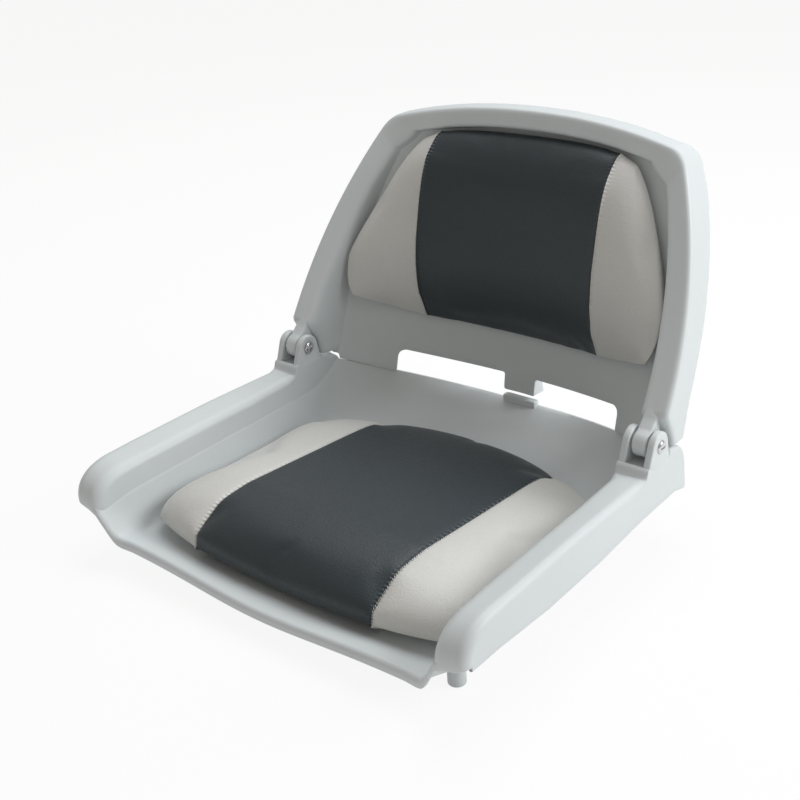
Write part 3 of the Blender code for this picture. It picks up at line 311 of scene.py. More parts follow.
def slab(outline, low, high, rounding, origin, axes, recess=()):
    """A closed plate: from the middle of the lower face over a flat core and a quarter circle round
    each edge to the middle of the upper face. recess gives circles (radius, depth) that are sunk in
    the upper face about the outline's origin."""
    normals = path_normals(outline)
    middle = np.zeros(2) if recess else outline.mean(0)
    centre = middle + outline * 0.0
    core = outline - normals * rounding * SLAB_CORE
    inner = middle + (core - middle) * SLAB_INNER
    turn = np.linspace(0, math.pi / 2, 5)
    edge = [outline - normals * rounding * (1 - math.sin(angle)) for angle in turn]
    rise = [rounding * (1 - math.cos(angle)) for angle in turn]
    rings = [centre, inner, core, *edge, *edge[::-1], core]
    heights = [low] * 3 + [low + up for up in rise] + [high - up for up in rise[::-1]] + [high]
    if recess:
        bearing = unit(outline - middle)
        rings += [middle + bearing * radius for radius, _ in recess]
        heights += [high - depth for _, depth in recess]
    else:
        rings += [inner, centre]
        heights += [high, high]
    flat = np.stack(rings)
    return [loops(placed(origin, axes, flat[..., :1], flat[..., 1:],
                         np.array(heights)[:, None, None]))]


def turned(profile, origin, axes, steps=40):
    """A turned piece: the profile (radius, height) carried round the axis in equal steps."""
    profile = np.array(profile, float)[:, None]
    way = circle(1.0, steps)
    radius, height = profile[..., :1], profile[..., 1:]
    return [loops(placed(origin, axes, radius * way[:, :1], radius * way[:, 1:], height))]


def circle(radius, steps=36):
    """A circle of points, anticlockwise."""
    angle = np.linspace(0, 2 * math.pi, steps, endpoint=False)
    return np.stack([radius * np.cos(angle), radius * np.sin(angle)], -1)


def rectangle(half_a, half_b, radius):
    """A rectangle with rounded corners, anticlockwise."""
    corners = [(half_a, -half_b), (half_a, half_b), (-half_a, half_b), (-half_a, -half_b)]
    path = rounded_path(corners, [radius * 1.3] * 4, 5, closed=True)
    return resample(path, radius * 0.8, closed=True)


# Pieces

def mesh_of(name, points, faces, work=None):
    """A mesh of vertices and faces, worked on as a bmesh, with its normals outwards."""
    mesh = bpy.data.meshes.new(name)
    mesh.from_pydata(points, [], faces)
    bm = bmesh.new()
    bm.from_mesh(mesh)
    if work:
        work(bm)
    bmesh.ops.recalc_face_normals(bm, faces=bm.faces)
    bm.to_mesh(mesh)
    bm.free()
    return mesh


def welded(bm):
    """Joins vertices that lie on each other and drops faces without an area."""
    bmesh.ops.remove_doubles(bm, verts=bm.verts, dist=2e-6)
    bmesh.ops.dissolve_degenerate(bm, edges=bm.edges, dist=1e-7)


def make_piece(name, parts, material, body, replaces=(), sharp=38.0):
    """Joins parts (vertices, faces) into one object that rides on a body of the frame."""
    points = np.concatenate([part[0] for part in parts])
    starts = np.cumsum([0] + [len(part[0]) for part in parts[:-1]])
    faces = np.concatenate([part[1] + start for part, start in zip(parts, starts)])
    mesh = mesh_of(name, points, faces, welded)
    return add_object(name, mesh, material, body, replaces, sharp)


def add_object(name, mesh, material, body, replaces=(), sharp=38.0):
    """Puts a mesh into the scene on a body, in place of the frame's nodes it stands for."""
    mesh.shade_smooth()
    mesh.set_sharp_from_angle(angle=math.radians(sharp))
    piece = bpy.data.objects.new(name, mesh)
    bpy.context.scene.collection.objects.link(piece)
    mesh.materials.append(material)
    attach(piece, body)
    if replaces:
        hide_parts(*replaces)
    return piece


# Materials

def add_node(tree, kind, inputs=(), **settings):
    """Adds a node to a tree; inputs are (socket, value or output)."""
    made = tree.nodes.new(kind)
    for key, value in settings.items():
        setattr(made, key, value)
    for socket, value in inputs:
        if isinstance(value, bpy.types.NodeSocket):
            tree.links.new(value, made.inputs[socket])
        else:
            made.inputs[socket].default_value = value
    return made


class Finish:
    """A Principled material and short ways to add nodes to it."""

    def __init__(self, name, colour, roughness, **own):
        self.material = bpy.data.materials.new(name)
        self.material.use_nodes = True
        self.tree = self.material.node_tree
        self.shader = self.tree.nodes["Principled BSDF"]
        self.shader.inputs["Base Color"].default_value = (*colour[:3], 1.0)
        self.shader.inputs["Roughness"].default_value = roughness
        for socket, value in own.items():
            self.shader.inputs[socket.replace("_", " ")].default_value = value
        self.place = self.node("ShaderNodeTexCoord").outputs["Object"]

    def node(self, kind, inputs=(), **settings):
        """Adds a node to this material."""
        return add_node(self.tree, kind, inputs, **settings)

    def noise(self, scale, detail=2.0, rough=0.5, place=None):
        """Value of a noise pattern at a scale given in features for each metre."""
        inputs = [("Vector", place or self.place), ("Scale", scale), ("Detail", detail),
                  ("Roughness", rough)]
        return self.node("ShaderNodeTexNoise", inputs).outputs["Fac"]

    def stretched(self, scale):
        """Places stretched by a factor for each axis."""
        inputs = [("Vector", self.place), ("Scale", scale)]
        return self.node("ShaderNodeMapping", inputs).outputs["Vector"]

    def span(self, value, low, high, start=0.0, end=1.0):
        """Stretches a value from start..end to low..high."""
        inputs = [("Value", value), ("From Min", start), ("From Max", end), ("To Min", low),
                  ("To Max", high)]
        return self.node("ShaderNodeMapRange", inputs).outputs["Result"]

    def maths(self, operation, a, b=0.0):
        """One step of arithmetic on values."""
        return self.node("ShaderNodeMath", [(0, a), (1, b)], operation=operation).outputs["Value"]

    def shade(self, colour, *tones):
        """Multiplies the colour by one or more tone patterns."""
        colour = (*colour[:3], 1.0)
        for tone in tones:
            grey = self.node("ShaderNodeCombineColor", [(0, tone), (1, tone), (2, tone)])
            mixed = self.node("ShaderNodeMix", data_type="RGBA", blend_type="MULTIPLY")
            mixed.inputs["Factor"].default_value = 1.0
            if isinstance(colour, bpy.types.NodeSocket):
                self.tree.links.new(colour, mixed.inputs["A"])
            else:
                mixed.inputs["A"].default_value = colour
            self.tree.links.new(grey.outputs["Color"], mixed.inputs["B"])
            colour = mixed.outputs["Result"]
        self.tree.links.new(colour, self.shader.inputs["Base Color"])

    def bump(self, height, distance, strength=1.0, under=None):
        """Raises the surface by a height pattern, on top of another bump."""
        inputs = [("Height", height), ("Distance", distance), ("Strength", strength)]
        if under is not None:
            inputs.append(("Normal", under))
        return self.node("ShaderNodeBump", inputs).outputs["Normal"]

    def link(self, output, socket):
        """Feeds an output into the shader."""
        self.tree.links.new(output, self.shader.inputs[socket])


def moulded_plastic(name, colour, roughness=0.46):
    """Moulded polypropylene: spark-eroded grain, soft flow marks and a slightly uneven gloss."""
    finish = Finish(name, colour, roughness, IOR=1.49)
    cloud = finish.noise(7.0, 3.0)
    flow = finish.noise(60.0, 2.0)
    finish.shade(colour, finish.span(cloud, 0.955, 1.03), finish.span(flow, 0.985, 1.01))
    grain = finish.noise(1500.0, 3.0, 0.6)
    ripple = finish.noise(95.0, 1.0)
    low = finish.bump(ripple, 0.0006, 0.20)
    finish.link(finish.bump(grain, 0.00018, 0.45, low), "Normal")
    finish.link(finish.span(grain, roughness - 0.05, roughness + 0.08), "Roughness")
    return finish.material


def marine_vinyl(name, colour, roughness):
    """Coated marine vinyl: pebbled grain, faint creases, and puckers along the two seams."""
    finish = Finish(name, colour, roughness, IOR=1.50, Sheen_Weight=0.06, Sheen_Roughness=0.5)
    pebble = finish.node("ShaderNodeTexVoronoi", [("Vector", finish.place), ("Scale", 620.0)],
                         feature="SMOOTH_F1").outputs["Distance"]
    fine = finish.noise(1700.0, 2.0)
    cloud = finish.noise(11.0, 3.0)
    crease = finish.noise(34.0, 4.0, 0.62)
    finish.shade(colour, finish.span(cloud, 0.94, 1.05), finish.span(pebble, 1.02, 0.95, 0.0, 0.8))
    x, y, z = finish.node("ShaderNodeSeparateXYZ", [("Vector", finish.place)]).outputs
    off = finish.maths("SUBTRACT", finish.maths("ABSOLUTE", x), SEAM_X)
    near = finish.span(finish.maths("ABSOLUTE", off), 1.0, 0.0, 0.0, 0.0065)
    run = finish.maths("ADD", y, z)
    wave = finish.maths("SINE", finish.maths("MULTIPLY", run, 2 * math.pi / 0.0058))
    ridge = finish.maths("MULTIPLY", finish.maths("MULTIPLY", near, near), wave)
    soft = finish.bump(crease, 0.0016, 0.30)
    sewn = finish.bump(ridge, 0.0005, 0.9, soft)
    grained = finish.bump(pebble, 0.00032, 0.55, sewn)
    finish.link(finish.bump(fine, 0.00008, 0.5, grained), "Normal")
    finish.link(finish.span(pebble, roughness - 0.05, roughness + 0.10, 0.0, 0.8), "Roughness")
    return finish.material


def sewing_thread(name, colour):
    """Bonded polyester thread with a fine twist; its grooves carry painted shade."""
    finish = Finish(name, colour, 0.6)
    x, y, z = finish.node("ShaderNodeSeparateXYZ", [("Vector", finish.place)]).outputs
    lay = finish.maths("SINE", finish.maths("MULTIPLY", finish.maths("ADD", x, y), 9000.0))
    # Painted shade and highlight: the tone follows the twist's bump, darker in its grooves and lighter on its
    # crests.
    finish.shade(colour, finish.span(lay, 0.86, 1.04, -1.0, 1.0))
    finish.link(finish.bump(lay, 0.00008, 0.6), "Normal")
    return finish.material


def satin_metal(name, colour, roughness):
    """Turned and tumbled metal: fine scratches, dull spots and an uneven polish."""
    finish = Finish(name, colour, roughness, Metallic=1.0)
    scratch = finish.noise(1.0, 3.0, 0.6, finish.stretched((900.0, 6000.0, 900.0)))
    dull = finish.noise(420.0, 2.0)
    finish.shade(colour, finish.span(dull, 0.88, 1.05))
    finish.link(finish.bump(scratch, 0.00004, 0.35), "Normal")
    finish.link(finish.span(scratch, roughness - 0.07, roughness + 0.12), "Roughness")
    return finish.material


def plywood(name, colour):
    """Exterior plywood: long grain with darker growth lines."""
    finish = Finish(name, colour, 0.78)
    grain = finish.noise(1.5, 5.0, 0.6, finish.stretched((6.0, 70.0, 70.0)))
    pores = finish.noise(900.0, 2.0)
    finish.shade(colour, finish.span(grain, 0.62, 1.15), finish.span(pores, 0.92, 1.04))
    finish.link(finish.bump(grain, 0.0004, 0.5), "Normal")
    return finish.material


def cut_foam(name, colour):
    """Cut polyurethane foam with open cells; the cells' pits carry painted shade."""
    finish = Finish(name, colour, 0.95)
    cells = finish.node("ShaderNodeTexVoronoi",
                        [("Vector", finish.place), ("Scale", 900.0)]).outputs["Distance"]
    cloud = finish.noise(20.0, 2.0)
    # Painted shade: the tone darkens the cells' pits, which are low in the bump; the cloud is a random tone.
    finish.shade(colour, finish.span(cells, 0.75, 1.08, 0.0, 0.7), finish.span(cloud, 0.93, 1.04))
    finish.link(finish.bump(cells, 0.0006, 0.9), "Normal")
    return finish.material


# Seat shell

def pan_wall(x):
    """Rise of the pan above its floor: the fourth power of the share of the way to the arm, then
    a short rounded run inside the arm's wall."""
    outside = np.clip((np.abs(x) - FLOOR_HALF) / (PAN_HALF - FLOOR_HALF), 0, 1)
    beyond = np.clip((np.abs(x) - PAN_HALF) / PAN_FLANGE, 0, 1)
    return PAN_WALL_RISE * outside ** 4 + PAN_FLANGE_RISE * (1 - (1 - beyond) ** 2.5)


def lip_top(x):
    """Upper edge of the front lip: a bell-shaped dip in the middle, a square climb towards the
    sides, a smooth step up beside the arm and a slow climb under its nose."""
    outside = (np.clip(np.abs(x), FLOOR_HALF, NOSE_X) - FLOOR_HALF) / (PAN_HALF - FLOOR_HALF)
    step = np.clip((np.abs(x) - NOSE_X + NOSE_STEP) / NOSE_STEP, 0, 1)
    under = 0.45 * np.maximum(0, np.abs(x) - NOSE_X) + NOSE_RISE * step * step * (3 - 2 * step)
    dip = LIP_DIP * np.exp(-(x / LIP_DIP_HALF) ** 2)
    return LIP_TOP_Z - dip + LIP_SIDE_RISE * outside ** 2 + under


def rim_top(x):
    """Rear rim: its height climbs with the 1.8th power of the distance from the middle."""
    return RIM_Z + RIM_SIDE_RISE * (np.abs(x) / RIM_SIDE_X) ** 1.8


def pan_surface():
    """The pan from the lip's lower edge, over a quarter circle and down a slope to the floor, then
    up the rear with the 1.8th power, over the rim and down the skirt; across, the floor and the
    walls."""
    half = np.concatenate([
        np.linspace(0, 0.180, 34),
        FLOOR_HALF + (PAN_HALF - FLOOR_HALF) * np.linspace(0, 1, 26) ** 0.55,
    ])
    flange = np.array([0.3, 0.65, 1.0])

    def across(flare):
        inner = np.broadcast_to(half, (len(flare), len(half)))
        right = np.concatenate([inner, PAN_HALF + flare[:, None] * flange], 1)
        return np.concatenate([-right[:, :0:-1], right], 1)

    def joined(flare, y, z):
        x = across(flare)
        return np.stack([x, np.broadcast_to(y(x), x.shape), z(x)], -1)

    def bow(x):
        beside = ((np.abs(x) - 0.178) / 0.0365).clip(0, 1)
        return LIP_Y - LIP_BOW * np.exp(-(x / LIP_DIP_HALF) ** 2) - 0.0065 * beside ** 1.5

    down = np.linspace(-LIP_DEPTH, -LIP_ROUND, 4)[:-1]
    turn = np.linspace(0, math.pi / 2, 9)
    back = np.concatenate([down * 0, LIP_ROUND * (1 - np.cos(turn))])[:, None]
    up = np.concatenate([down, LIP_ROUND * (np.sin(turn) - 1)])[:, None]
    lip = joined(np.full(len(back), LIP_FLARE),
                 lambda x: bow(x) + back, lambda x: lip_top(x) + up)

    t = np.linspace(0, 1, 22)[1:, None]
    share = 0.5 * (1 - t) ** 1.5 + 0.5 * np.cos(t * math.pi / 2) ** 2
    flare = PAN_FLANGE + (LIP_FLARE - PAN_FLANGE) * share[:, 0]
    slope = joined(flare, lambda x: (bow(x) + LIP_ROUND) * (1 - t) + FLOOR_FRONT_Y * t,
                   lambda x: share * lip_top(x) + (1 - share) * (FLOOR_Z + pan_wall(x)))

    def rear_start(x):
        return FLOOR_REAR_Y - FLOOR_REAR_EARLY * (np.minimum(np.abs(x), PAN_HALF) / PAN_HALF) ** 4

    def rear(x):
        return REAR_Y - REAR_BOW * x * x

    s = np.linspace(0, 1, 34)[1:, None]
    floor = joined(np.full(len(s), PAN_FLANGE),
                   lambda x: FLOOR_FRONT_Y + s * (rear_start(x) - FLOOR_FRONT_Y),
                   lambda x: FLOOR_Z + pan_wall(x) + 0 * s)
    c = np.linspace(0, 1, 30)[1:, None]
    climb = joined(np.full(len(c), PAN_FLANGE),
                   lambda x: rear_start(x) + c * (rear(x) - rear_start(x)),
                   lambda x: (FLOOR_Z + pan_wall(x)
                              + c ** 1.8 * (rim_top(x) - FLOOR_Z - pan_wall(x))))
    turn = np.linspace(0, math.pi / 2, 9)[1:]
    skirt = np.linspace(-RIM_ROUND, -SKIRT_DEPTH, 6)[1:]
    over = np.concatenate([RIM_ROUND * np.sin(turn), skirt * 0 + RIM_ROUND])[:, None]
    fall = np.concatenate([RIM_ROUND * (np.cos(turn) - 1), skirt])[:, None]
    rim = joined(np.full(len(over), PAN_FLANGE),
                 lambda x: rear(x) + over, lambda x: rim_top(x) + fall)
    return np.concatenate([lip, slope, floor, climb, rim])


def arm_profile():
    """Side view of an arm's top: an ellipse over the nose, a nearly level run, the step up to the
    web between the ears, the ledge behind it, and the rounded heel down to the rear."""
    angle = np.linspace(0, math.pi / 2, 26)
    nose = np.stack([ARM_FRONT_Y + NOSE_LENGTH * (1 - np.cos(angle) ** 0.85),
                     ARM_LOW_Z + (ARM_TOP_Z - ARM_LOW_Z) * np.sin(angle) ** 0.85], -1)
    rest = rounded_path(
        [(ARM_FRONT_Y + NOSE_LENGTH + 0.004, ARM_TOP_Z), (0.0, 0.1012), (0.0972, 0.0965),
         (0.1012, 0.1054), (0.1052, 0.1048), (0.1080, 0.1020), (0.1430, 0.1020), (0.1436, 0.1080),
         (0.1600, 0.1080), (0.1765, 0.0935), (0.1820, 0.0500)],
        [0, 0.03, 0.0020, 0.0014, 0.0010, 0.0012, 0.0010, 0.0010, 0.0100, 0.0120, 0], 6)
    return resample(np.concatenate([nose, rest]), 0.0022)


def arm_surface(edge):
    """One arm's skin, for the right side: at each point of the side profile the section goes up the
    outer face, over a quarter circle, across the top and down the inner face."""
    top = arm_profile()
    y = top[:, 0]
    normal = -path_normals(top, closed=False)
    normal = np.where(np.arange(len(top))[:, None] == 0, np.array([[-1.0, 0.0]]), normal)
    radius = np.interp(y, (-0.195, -0.12, 0.088, 0.0985), (edge * 1.3, edge, edge, 0.0012))
    behind = np.arange(len(top)) > np.argmax(y > 0.0985)
    heel = np.interp(y, (0.14, 0.15, 0.19), (0.0010, 0.0035, 0.0035))
    radius = np.where(behind, heel, radius)[:, None]
    low = np.interp(y, *ARM_LOW_LINE)
    core = top - normal * radius
    fall = ARM_TOP_FALL * np.interp(y, *ARM_FALL_LINE)
    up = np.linspace(0, 1, 13)[None, :-1]
    turn = np.linspace(0, math.pi / 2, 9)[None, :]
    level = np.linspace(0, 1, 9)[None, 1:-1]
    face_y = np.broadcast_to(core[:, :1], (len(top), up.shape[1]))
    face_z = low[:, None] + up * np.maximum(core[:, 1:] - low[:, None], 0)
    edge_y = core[:, :1] + normal[:, :1] * radius * np.sin(turn)
    edge_z = core[:, 1:] + normal[:, 1:] * radius * np.sin(turn)
    top_y = np.broadcast_to(top[:, :1], (len(top), level.shape[1]))
    top_z = np.broadcast_to(top[:, 1:], (len(top), level.shape[1]))
    outer_x = np.full(face_y.shape, HALF_WIDTH)
    outer_edge_x = HALF_WIDTH - radius * (1 - np.cos(turn))
    level_x = (HALF_WIDTH - radius) * (1 - level) + (ARM_INNER + radius) * level
    inner_edge_x = (ARM_INNER + radius * (1 - np.cos(turn)))[:, ::-1]
    inner_low = np.interp(y, *ARM_INNER_LINE)[:, None]
    inner_z = (inner_low + up * np.maximum(core[:, 1:] - inner_low, 0))[:, ::-1]
    ahead = np.interp(y, (-0.170, -0.146), (1.0, 0.0))[:, None]
    inner_x = np.full(face_y.shape, ARM_INNER)
    x = np.concatenate([outer_x, outer_edge_x, level_x, inner_edge_x, inner_x], 1)
    yy = np.concatenate([face_y, edge_y, top_y, edge_y[:, ::-1], face_y], 1)
    zz = np.concatenate([face_z, edge_z, top_z, edge_z[:, ::-1], inner_z], 1)
    across = (HALF_WIDTH - x) / (HALF_WIDTH - ARM_INNER)
    height = np.clip((zz - ARM_LOW_Z) / (ARM_TOP_Z - ARM_LOW_Z), 0, 1)
    over = np.ones(edge_y.shape[1] * 2 + level.shape[1])
    upper = np.concatenate([np.zeros(up.shape[1]), over, up[0, ::-1]])
    zz = zz - fall[:, None] * across.clip(0, 1) * height
    zz = zz + ahead * (0.003 - 0.009 * across.clip(0, 1)) * (1 - height) ** 2 * upper
    return np.stack([x, yy, zz], -1)


def ear_outline():
    """Side view of an ear about the hinge: the round top, two straight flanks that touch it, and a
    foot with cut corners that is sunk in the arm."""
    turns = []
    for (y, z), sign in zip(EAR_BASE, (-1.0, 1.0)):
        dy, dz = y - HINGE[1], z - HINGE[2]
        turns.append(math.atan2(dz, dy) + sign * math.acos(EAR_RADIUS / math.hypot(dy, dz)))
    start, end = turns[1], turns[0]
    if end < start:
        end += 2 * math.pi
    angle = np.linspace(start, end, 40)
    arc = np.stack([EAR_RADIUS * np.cos(angle), EAR_RADIUS * np.sin(angle)], -1)
    (front_y, front_z), (rear_y, rear_z) = np.array(EAR_BASE) - HINGE[1:]
    foot = [(front_y, front_z), (front_y + EAR_CUT, front_z - EAR_CUT),
            (rear_y - EAR_CUT, rear_z - EAR_CUT), (rear_y, rear_z)]
    return resample(np.concatenate([arc, foot]), 0.0012, closed=True)


def seat_underside():
    """Bosses, ribs, braces and feet under the pan, each a slab with rounded edges."""
    parts = slab(circle(0.016), 0.0, BOSS_TOP_Z, 0.0008, (0, 0, 0), ALONG_Z)
    rib_long, rib_half = RIB_HALF + 0.002, 0.002
    for at in (-RIB_HALF, 0.0, RIB_HALF):
        parts += slab(rectangle(rib_long, rib_half, 0.0009), 0.0008, BOSS_TOP_Z, 0.0006,
                      (0, at, 0), ALONG_Z)
        parts += slab(rectangle(rib_half, rib_long, 0.0009), 0.0010, BOSS_TOP_Z, 0.0006,
                      (at, 0, 0), ALONG_Z)
    for sx in (-1, 1):
        for sy in (-1, 1):
            parts += turned([(0.0105, BOSS_TOP_Z), (0.011, 0.018), (0.011, 0.0006), (0.0104, 0.0),
                             (0.0052, 0.0), (0.0048, 0.0004), (0.0048, 0.013), (0.0, 0.013)],
                            (sx * BOLT_HALF, sy * BOLT_HALF, 0), ALONG_Z)
        for x, y in FEET:
            parts += slab(circle(0.0085), 0.0, BOSS_TOP_Z, 0.0012, (sx * x, y, 0), ALONG_Z)
            corner = np.array([sx * RIB_HALF, math.copysign(RIB_HALF, y)])
            foot = np.array([sx * x, y])
            run = unit(foot - corner)
            middle = (foot + corner) / 2
            length = np.linalg.norm(foot - corner) / 2
            parts += slab(rectangle(length, 0.0015, 0.0008), 0.005, BOSS_TOP_Z, 0.0006,
                          (*middle, 0), ((*run, 0), (-run[1], run[0], 0), (0, 0, 1)))
    return parts


def make_seat_shell(settings, plastic):
    """The seat's moulding: pan, arms, ears, stop pad and underside."""
    parts = walled(pan_surface(), -settings.wall)
    skin = arm_surface(settings.arm_edge)
    outline = ear_outline()
    recess = ((HEAD_RADIUS + 0.0012, 0.0), (HEAD_RADIUS + 0.0009, 0.0002),
              (HEAD_RADIUS + 0.0007, 0.0009), (0.004, 0.0010), (0.0, 0.0010))
    (inner_low, inner_high), (outer_low, outer_high) = EARS
    for side in (-1.0, 1.0):
        parts += walled(skin * np.array([side, 1, 1]), side * settings.wall)
        for start, end, out, sunk in ((-inner_high, -inner_low, -side, recess),
                                      (outer_low, outer_high, side, ())):
            parts += slab(outline, start, end, settings.ear_edge, (0, HINGE[1], HINGE[2]),
                          ((0, 1, 0), (0, 0, 1), (out, 0, 0)), sunk)
    parts += slab(rectangle(0.023, 0.005, 0.0025), RIM_Z - 0.003, RIM_Z + 0.006, 0.0015,
                  (0, REAR_Y - 0.001, 0), ALONG_Z)
    parts += seat_underside()
    return make_piece("seat_moulding", parts, plastic, "seat", ["seat_shell"])


# Back shell

def panel_y(x, z):
    """Front of the back's panel: it leans back with height and bows with the square of x, less so
    towards the top."""
    share = (z - BACK_LOW_Z) / (BACK_TOP_Z - BACK_LOW_Z)
    return REAR_Y + BACK_SLOPE * (z - BACK_LOW_Z) - (1.8 - 1.3 * share) * x * x


def wing_x(z):
    """Outer side of a wing, which draws in with the 2.2th power of the height."""
    return HALF_WIDTH - 0.064 * (np.maximum(0, z - 0.127) / 0.240) ** 2.2


def back_top(x):
    """Top edge of the back, which falls with the 2.2th power of x."""
    return BACK_TOP_Z - BACK_TOP_FALL * (np.abs(x) / TOP_HALF) ** 2.2


def band_outline(inset_side, inset_top):
    """Front view of the right half of the rim, from the wing's foot round the corner to the middle,
    moved inwards by the insets: a run up the side, a quadratic curve and a run along the top."""
    side_end = CORNER_Z - 0.7 * inset_side
    top_start = CORNER_X - 0.7 * inset_side
    z = np.linspace(WING_LOW_Z, side_end, 64)
    side = np.stack([wing_x(z) - inset_side, z], -1)
    t = np.linspace(0, 1, 22)[1:-1, None]
    start = side[-1]
    apex = np.array([TOP_HALF + 0.001 - inset_side, back_top(TOP_HALF) - inset_top])
    end = np.array([top_start, back_top(top_start) - inset_top])
    corner = (1 - t) ** 2 * start + 2 * t * (1 - t) * apex + t * t * end
    x = np.linspace(top_start, 0, 34)
    top = np.stack([x, back_top(x) - inset_top], -1)
    share = np.concatenate([np.zeros(55), np.linspace(0, 1, 30), np.ones(33)])
    return np.concatenate([side, corner, top]), share


def band_front(x, z):
    """How far back the rim's face is: the wings lean, the top bows, and the nearer one counts."""
    side = 0.135 + 0.62 * (z - 0.147)
    top = TOP_Y - TOP_BOW * (np.abs(x) / TOP_HALF) ** 4
    return np.minimum(side, top)


def smooth_table(table, steps):
    """Passes a smooth curve through the rows of a table: each span is a cubic whose slope at a row
    is half the difference of the rows on both sides."""
    table = np.array(table, float)
    around = np.concatenate([2 * table[:1] - table[1:2], table, 2 * table[-1:] - table[-2:-1]])
    t = np.linspace(0, 1, steps, endpoint=False)[None, :, None]
    a, b, c, d = (around[i:len(around) - 3 + i][:, None] for i in range(4))
    rows = 0.5 * (2 * b + (c - a) * t + (2 * a - 5 * b + 4 * c - d) * t ** 2
                  + (3 * b - a - 3 * c + d) * t ** 3)
    return np.concatenate([rows.reshape(-1, table.shape[1]), table[-1:]])


# Across the rim: share of the face inwards, share of the way to the panel, share of the ridge's
# rounding inwards and back, and share of the depth of the outer side
BAND_ROWS = (
    (1.30, 1.05, 0.00, 0.00, 0.0),
    (1.24, 0.98, 0.00, 0.00, 0.0),
    (1.16, 0.86, 0.00, 0.00, 0.0),
    (1.08, 0.55, 0.00, 0.00, 0.0),
    (0.99, 0.15, 0.00, 0.00, 0.0),
    (0.84, 0.00, 0.00, 0.00, 0.0),
    (0.55, 0.00, 0.00, 0.00, 0.0),
    (0.02, 0.00, 1.10, 0.00, 0.0),
    (0.00, 0.00, 0.55, 0.08, 0.0),
    (0.00, 0.00, 0.16, 0.34, 0.0),
    (0.00, 0.00, 0.00, 0.85, 0.0),
    (0.00, 0.00, 0.00, 1.05, 0.3),
    (0.00, 0.00, 0.00, 1.00, 0.62),
    (0.00, 0.00, 0.00, 1.00, 0.86),
)

# Heights, and how far back the wing's face has to stay there to clear the ears
EAR_RELIEF = ((0.090, 0.118, 0.149), (0.153, 0.1485, 0.1335))


def band_surface():
    """The raised rim, wings and top: the rows above carried along its outline; near the wing's foot
    the inner side is lowered, and the face is set back to a slanted line that leaves room for the
    ears."""
    outer, share = band_outline(0.0, 0.0)
    inner, _ = band_outline(WING_FACE, TOP_FACE)
    face = inner - outer
    columns = smooth_table(BAND_ROWS, 4).T[..., None]
    inward, wall, edge_in, edge_back, deep = columns
    flat = (outer[None] + face[None] * inward[..., None]
            + unit(face)[None] * (edge_in * RIDGE_ROUND)[..., None])
    x, z = flat[..., 0], flat[..., 1]
    near_foot = (1 - (outer[:, 1] - WING_LOW_Z) / FOOT_DROP_HEIGHT).clip(0, 1)
    z = z - FOOT_DROP * ((inward - 0.55) / 0.5).clip(0, 1) * near_foot
    depth = 0.042 + 0.012 * np.exp(-(outer[:, 1] - WING_LOW_Z) / 0.040)
    depth = depth + (0.017 - depth) * share
    front = band_front(outer[:, 0], outer[:, 1])
    relief = np.interp(outer[:, 1], *EAR_RELIEF)
    push = np.maximum(0, relief - front) * (outer[:, 1] < 0.150)
    front = (front + push)[None]
    foot = panel_y(x, z) + 0.0035
    y = front + wall * (foot - front) + edge_back * RIDGE_ROUND + deep * (depth - push)[None]
    right = np.stack([x, y, z], -1)
    left = right * np.array([-1, 1, 1])
    return np.concatenate([left, right[:, -2::-1]], 1)


def panel_lower_edge():
    """Front view of the panel's lower edge, left to right: above the rear rim, round the opening
    on each side of the tab, and under the tab. Its third column says where across the top, from -1
    to 1, the panel's line from that point ends."""
    side_x = np.linspace(0.2195, NOTCH_HALF + 0.0015, 60)
    rise = np.interp(side_x, (0.2120, 0.2134, 0.2195), (0.0, 0.0055, 0.0055))
    side = np.stack([side_x, rim_top(side_x) + 0.0018 + rise], -1)
    run_x = np.linspace(NOTCH_HALF - NOTCH_CORNER, TAB_HALF + 0.004, 30)
    run = np.stack([run_x, NOTCH_Z + NOTCH_RISE * run_x ** 2], -1)
    corner_z = run[0, 1]
    post = rounded_path([side[-1], (NOTCH_HALF, side[-1, 1] + 0.001), (NOTCH_HALF, corner_z),
                         tuple(run[0])], [0, 0.0015, NOTCH_CORNER, 0], 9)
    tab = rounded_path([tuple(run[-1]), (TAB_HALF, NOTCH_Z), (TAB_HALF, TAB_LOW_Z),
                        (0, TAB_LOW_Z)], [0, 0.003, 0.003, 0], 8)
    right = np.concatenate([side, post[1:], run[1:], tab[1:]])
    ends = np.cumsum([len(side) - 1, len(post) - 1, len(run) - 1, len(tab) - 1])
    at = (0, *ends[:3], ends[2] + 9, ends[3] - 9, ends[3])
    fan = np.interp(np.arange(len(right)), at, (1.0, 0.80, 0.70, 0.113, 0.090, 0.050, 0.0))
    right = resample(np.column_stack([right, fan]), 0.0016)
    return np.concatenate([right[:-1] * np.array([-1, 1, -1]), right[::-1]])


def panel_surface():
    """The bowed panel: lines that rise from its lower edge to the line under the top of the rim and
    turn, with the 1.5th power of the way left, to their places there; each point is then moved
    onto the bowed and leaning face."""
    low_x, low_z, share_high = panel_lower_edge().T
    width = WING_FACE * 0.94
    share_low = low_x / (wing_x(low_z) - width)
    t = np.linspace(0, 1, 44)[:, None]
    share = share_low * (1 - t) ** 1.5 + share_high * (1 - (1 - t) ** 1.5)
    high = back_top(share * (TOP_HALF - WING_FACE)) - TOP_FACE * 0.80
    z = low_z + t * (high - low_z)
    x = share * (wing_x(z) - width)
    return np.stack([x, panel_y(x, z), z], -1)


def leg_outline():
    """Side view of a leg: the knuckle's circle, a run up behind it and the run down the front."""
    angle = np.radians(np.linspace(140, 352, 40))
    arc = np.stack([KNUCKLE_RADIUS * np.cos(angle), KNUCKLE_RADIUS * np.sin(angle)], -1)
    rest = np.array([(KNUCKLE_RADIUS + 0.004, 0.012), (0.040, 0.042), (0.0235, 0.042),
                     (0.0150, 0.0325), (0.0075, 0.0225), (-0.0010, 0.0148), (-0.0085, 0.0111)])
    return resample(np.concatenate([arc, rest]), 0.0016, closed=True)


